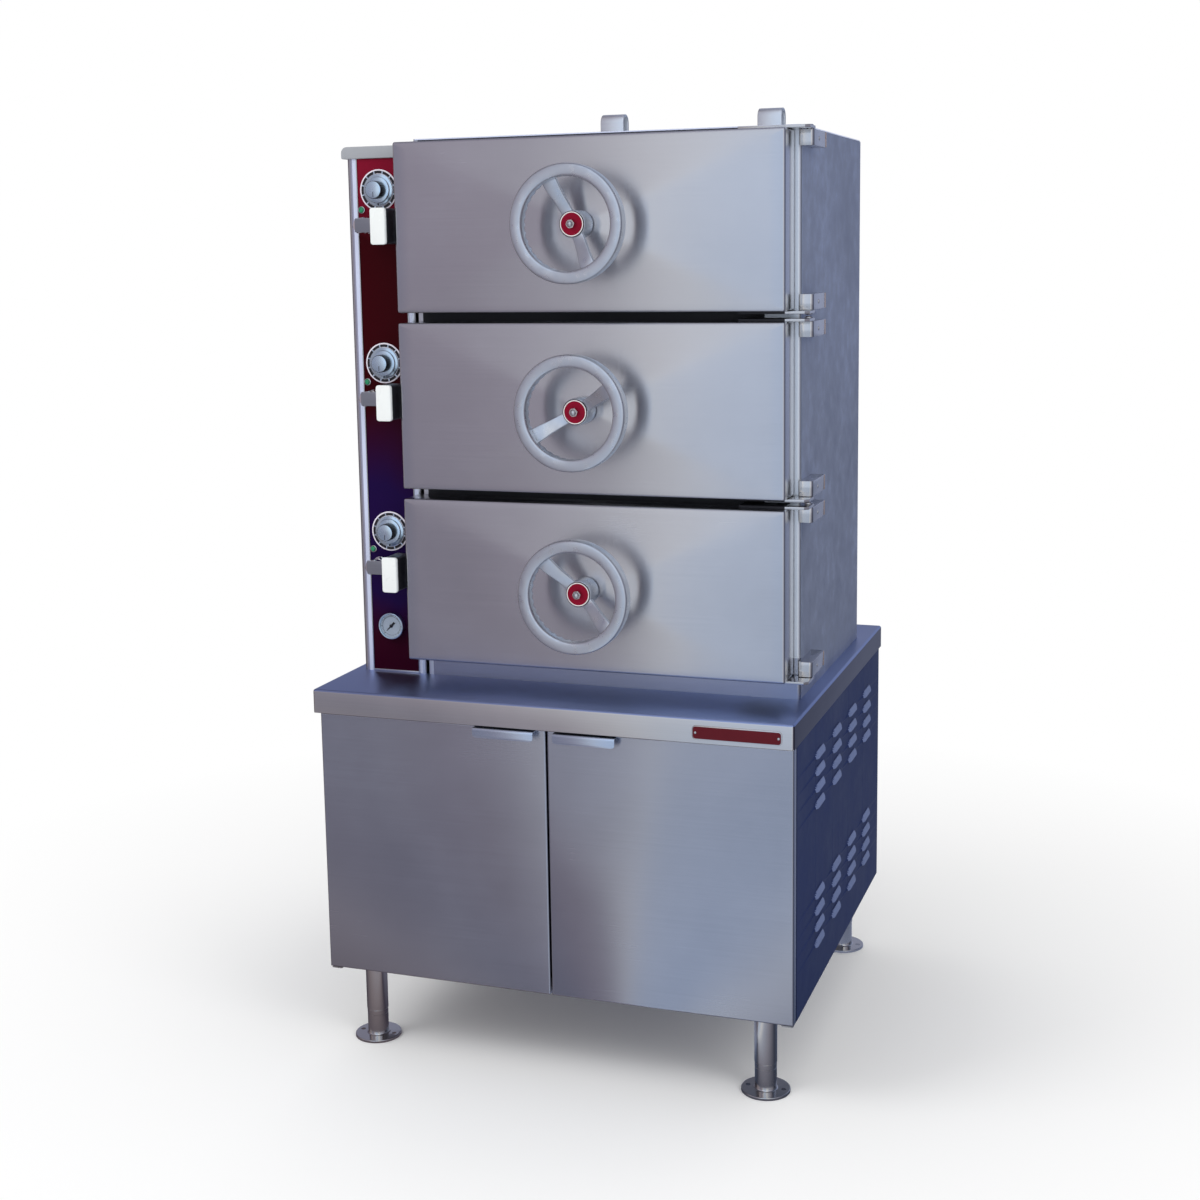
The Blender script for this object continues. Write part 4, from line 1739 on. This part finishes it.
def build_boiler():
    """Boiler shell with dished ends, welded seams, saddles and a bolted port ring."""
    low, high = box_of("boiler")
    r = BOILER_RADIUS
    centre = (low[1] + high[1]) / 2, high[2] - r
    knuckle = 0.03
    turn = np.linspace(0, math.pi / 2, 7)
    left = [(ON_AXIS, low[0]), (0.06, low[0] + 0.0005)]
    start = low[0] + 0.004
    left += [(r - knuckle + knuckle * math.sin(t), start + knuckle * (1 - math.cos(t))) for t in turn]
    seams = []
    for x in (low[0] + 0.05, high[0] - 0.05, (low[0] + high[0]) / 2):
        seams += [(r, x - 0.004), (r + 0.0012, x - 0.002), (r + 0.0012, x + 0.002), (r, x + 0.004)]
    seams = sorted(seams, key=lambda pair: pair[1])
    right = [(rad, low[0] + high[0] - x) for rad, x in left[::-1]]
    form = Form()
    turned(form, "x", centre, left + seams + right, 72)
    for side in (-1, 1):
        x = (low[0] + high[0]) / 2 + side * 0.56 / 3
        upright_part, foot_part = (0.02, 0.8, centre[1] - 0.06, 0.002), (0.03, 0.85, low[2] + 0.004, 0.001)
        for half, reach, top, edge in (upright_part, foot_part):
            ends = (x - half, centre[0] - r * reach, low[2]), (x + half, centre[0] + r * reach, top)
            block(form, *ends, 0.003, edge)
    make_piece("boiler_shell", form, "boiler_paint", "root", "boiler_paint", ["boiler"], smooth=35.0)
    heater_low, heater_high = box_of("heater_unit")
    flange = Form()
    face = high[0]
    rod(flange, "x", centre, 0.085, face, face + 0.014, 0.0015, 64, 0)
    for k in range(8):
        t = FULL_TURN * (k + 0.5) / 8
        place = (centre[0] + 0.072 * math.cos(t), centre[1] + 0.072 * math.sin(t))
        rings = nut_rings(0.013, face + 0.014, face + 0.021, 0, 24)
        rings = np.stack([rings[..., 1], rings[..., 0] + place[0], rings[..., 2] + place[1]], -1)
        flange.loft(rings, finish=0)
    case_low = (face + 0.013, centre[0] - 0.065, centre[1] - 0.08)
    case_high = (heater_high[0], centre[0] + 0.065, centre[1] + 0.08)
    block(flange, case_low, case_high, 0.006, 0.003, "x", 1)
    for t in np.radians((90, 210, 330)):
        place = (centre[0] + 0.036 * math.cos(t), centre[1] + 0.036 * math.sin(t))
        rod(flange, "x", place, 0.006, heater_low[0], face + 0.001, 0.003, 20, 0)
    make_piece("heater", flange, ["inner_steel", "boiler_paint"], "root", "inner_steel", ["heater_unit"])


def build_pipe_details():
    """Union nuts and lock nuts on the pipes at the back, and a bonnet on each steam valve."""
    form = Form()
    _, high = box_of("service_pipes")
    wall = box_of("base_back_panel")[1][1]
    for x, z, r in BACK_PIPES:
        for near, depth, size in ((wall + 0.0105, 0.009, r * 1.55), (wall + 0.026, 0.014, r * 1.28)):
            rings = nut_rings(size * 2, near, near + depth, 0, 48)
            form.loft(spun(rings, 11, (x, z)))
        bead = [(r + 0.0001, high[1] - 0.006), (r + 0.0012, high[1] - 0.0045)]
        bead += [(r + 0.0012, high[1] - 0.001), (r - 0.001, high[1] - 0.0003)]
        turned(form, "y", (x, z), bead, 48)
    for row in ROWS:
        x, z = lever_stem(row)
        for start, end in ((z + 0.015, z + 0.024), (z - 0.024, z - 0.015)):
            rod(form, "z", (x, FACE + VALVE_DEPTH), 0.014, start, end, 0.001, 32)
        rings = nut_rings(0.024, FACE + 0.0165, FACE + 0.0105, 0, 48)
        form.loft(spun(rings, 5, (x, z)))
    make_piece("pipe_fittings", form, "brass", "root", "pipe_brass")


def build_back_screws():
    """Screws round the two back panels."""
    form = Form()
    for node, count in (("housing_back", 6), ("base_back_panel", 4)):
        low, high = box_of(node)
        seat = high[1]
        for x in (low[0] + 0.014, high[0] - 0.014):
            for z in np.linspace(low[2] + 0.03, high[2] - 0.03, count):
                screw_head(form, "y", (x, z), 0.0045, seat - 0.0002, seat + 0.0018)
        for x in np.linspace(low[0] + 0.014, high[0] - 0.014, 6)[1:-1]:
            for z in (low[2] + 0.03, high[2] - 0.03):
                screw_head(form, "y", (x, z), 0.0045, seat - 0.0002, seat + 0.0018)
    make_piece("back_screws", form, "bright_steel", "root", "bright_steel")


# Operators


class STEAMER_OT_stage(bpy.types.Operator):
    """Sets the camera, the floor, the sky and the lamps"""

    bl_idname = "steamer.stage"
    bl_label = "Stage"

    def execute(self, context):
        scene, settings = context.scene, context.scene.steamer_stage
        scene.view_settings.view_transform = "Standard"
        build_camera(scene, settings)
        build_world(scene, settings)
        build_floor(settings)
        build_lamp(scene, "key", (-3.0, -2.6, 3.8), (0.0, 0.0, 0.9), 2.4, settings.key_power)
        build_lamp(scene, "fill", (3.4, -2.2, 2.6), (0.0, 0.0, 0.8), 2.0, settings.fill_power)
        return {"FINISHED"}


class STEAMER_OT_finishes(bpy.types.Operator):
    """Makes the finishes and gives them to the CAD pieces that stay in view"""

    bl_idname = "steamer.finishes"
    bl_label = "Finishes"

    def execute(self, context):
        make_finishes(context.scene.steamer_finish)
        for node, finish in CARRIED.items():
            give_finish(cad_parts[node], finish)
        return {"FINISHED"}


class STEAMER_OT_doors(bpy.types.Operator):
    """Makes the compartment doors with their beams, plates and gaskets"""

    bl_idname = "steamer.doors"
    bl_label = "Compartment doors"

    def execute(self, context):
        settings = context.scene.steamer_sheet
        for row in ROWS:
            build_door_skin(row, settings)
            build_strongback(row, settings)
            build_pressure_plate(row)
            build_gasket(row)
        return {"FINISHED"}


class STEAMER_OT_wheels(bpy.types.Operator):
    """Makes the handwheels, badges and spindles"""

    bl_idname = "steamer.wheels"
    bl_label = "Handwheels"

    def execute(self, context):
        for row in ROWS:
            build_wheel(row, context.scene.steamer_wheel)
            build_spindle(row, context.scene.steamer_wheel)
        return {"FINISHED"}


class STEAMER_OT_housing(bpy.types.Operator):
    """Makes the upper housing's sheets, the lifting straps and the hinge blocks"""

    bl_idname = "steamer.housing"
    bl_label = "Housing"

    def execute(self, context):
        settings = context.scene.steamer_sheet
        build_housing_wrap(settings)
        build_housing_top(settings)
        build_straps()
        build_hinge_blocks()
        return {"FINISHED"}


class STEAMER_OT_column(bpy.types.Operator):
    """Makes the control column with its cap and red panel"""

    bl_idname = "steamer.column"
    bl_label = "Control column"

    def execute(self, context):
        build_column(context.scene.steamer_sheet)
        return {"FINISHED"}


class STEAMER_OT_controls(bpy.types.Operator):
    """Makes the timers, lamps, levers and the gauge"""

    bl_idname = "steamer.controls"
    bl_label = "Controls"

    def execute(self, context):
        settings = context.scene.steamer_control
        for row in ROWS:
            build_timer(row, settings)
            build_lever(row, settings)
        build_timer_cases()
        build_lamps(settings)
        build_gauge(settings)
        return {"FINISHED"}


class STEAMER_OT_base(bpy.types.Operator):
    """Makes the base cabinet: deck, doors, louvred sides, legs and feet"""

    bl_idname = "steamer.base"
    bl_label = "Base cabinet"

    def execute(self, context):
        settings = context.scene.steamer_sheet
        build_deck(settings)
        build_nameplate()
        for side in SIDES:
            build_base_door(side, settings)
            build_side_panel(side, context.scene.steamer_louvre)
        build_legs()
        return {"FINISHED"}


class STEAMER_OT_inside(bpy.types.Operator):
    """Makes the boiler, the heater, the wool batts and the small fittings"""

    bl_idname = "steamer.inside"
    bl_label = "Inside"

    def execute(self, context):
        build_boiler()
        build_batts()
        build_pipe_details()
        build_back_screws()
        return {"FINISHED"}


class STEAMER_PT_pieces(bpy.types.Panel):
    """Lists the steamer's settings and the operators that use them"""

    bl_idname = "STEAMER_PT_pieces"
    bl_label = "Pressure steamer"
    bl_space_type = "VIEW_3D"
    bl_region_type = "UI"
    bl_category = "Steamer"

    def draw(self, context):
        for name, group in SETTINGS:
            box = self.layout.box()
            box.label(text=group.__doc__)
            settings = getattr(context.scene, name)
            for key in group.__annotations__:
                box.prop(settings, key)
        for operator in OPERATORS:
            self.layout.operator(operator.bl_idname)


OPERATORS = (
    STEAMER_OT_stage,
    STEAMER_OT_finishes,
    STEAMER_OT_doors,
    STEAMER_OT_wheels,
    STEAMER_OT_housing,
    STEAMER_OT_column,
    STEAMER_OT_controls,
    STEAMER_OT_base,
    STEAMER_OT_inside,
)


def register():
    """Registers the settings, operators and panel."""
    for name, group in SETTINGS:
        bpy.utils.register_class(group)
        setattr(bpy.types.Scene, name, PointerProperty(type=group))
    for cls in (*OPERATORS, STEAMER_PT_pieces):
        bpy.utils.register_class(cls)


def unregister():
    """Takes everything out again."""
    for cls in (STEAMER_PT_pieces, *reversed(OPERATORS)):
        bpy.utils.unregister_class(cls)
    for name, group in reversed(SETTINGS):
        delattr(bpy.types.Scene, name)
        bpy.utils.unregister_class(group)


def main():
    register()
    for operator in OPERATORS:
        group, name = operator.bl_idname.split(".")
        getattr(getattr(bpy.ops, group), name)()
    bpy.context.view_layer.update()


if __name__ == "__main__":
    main()
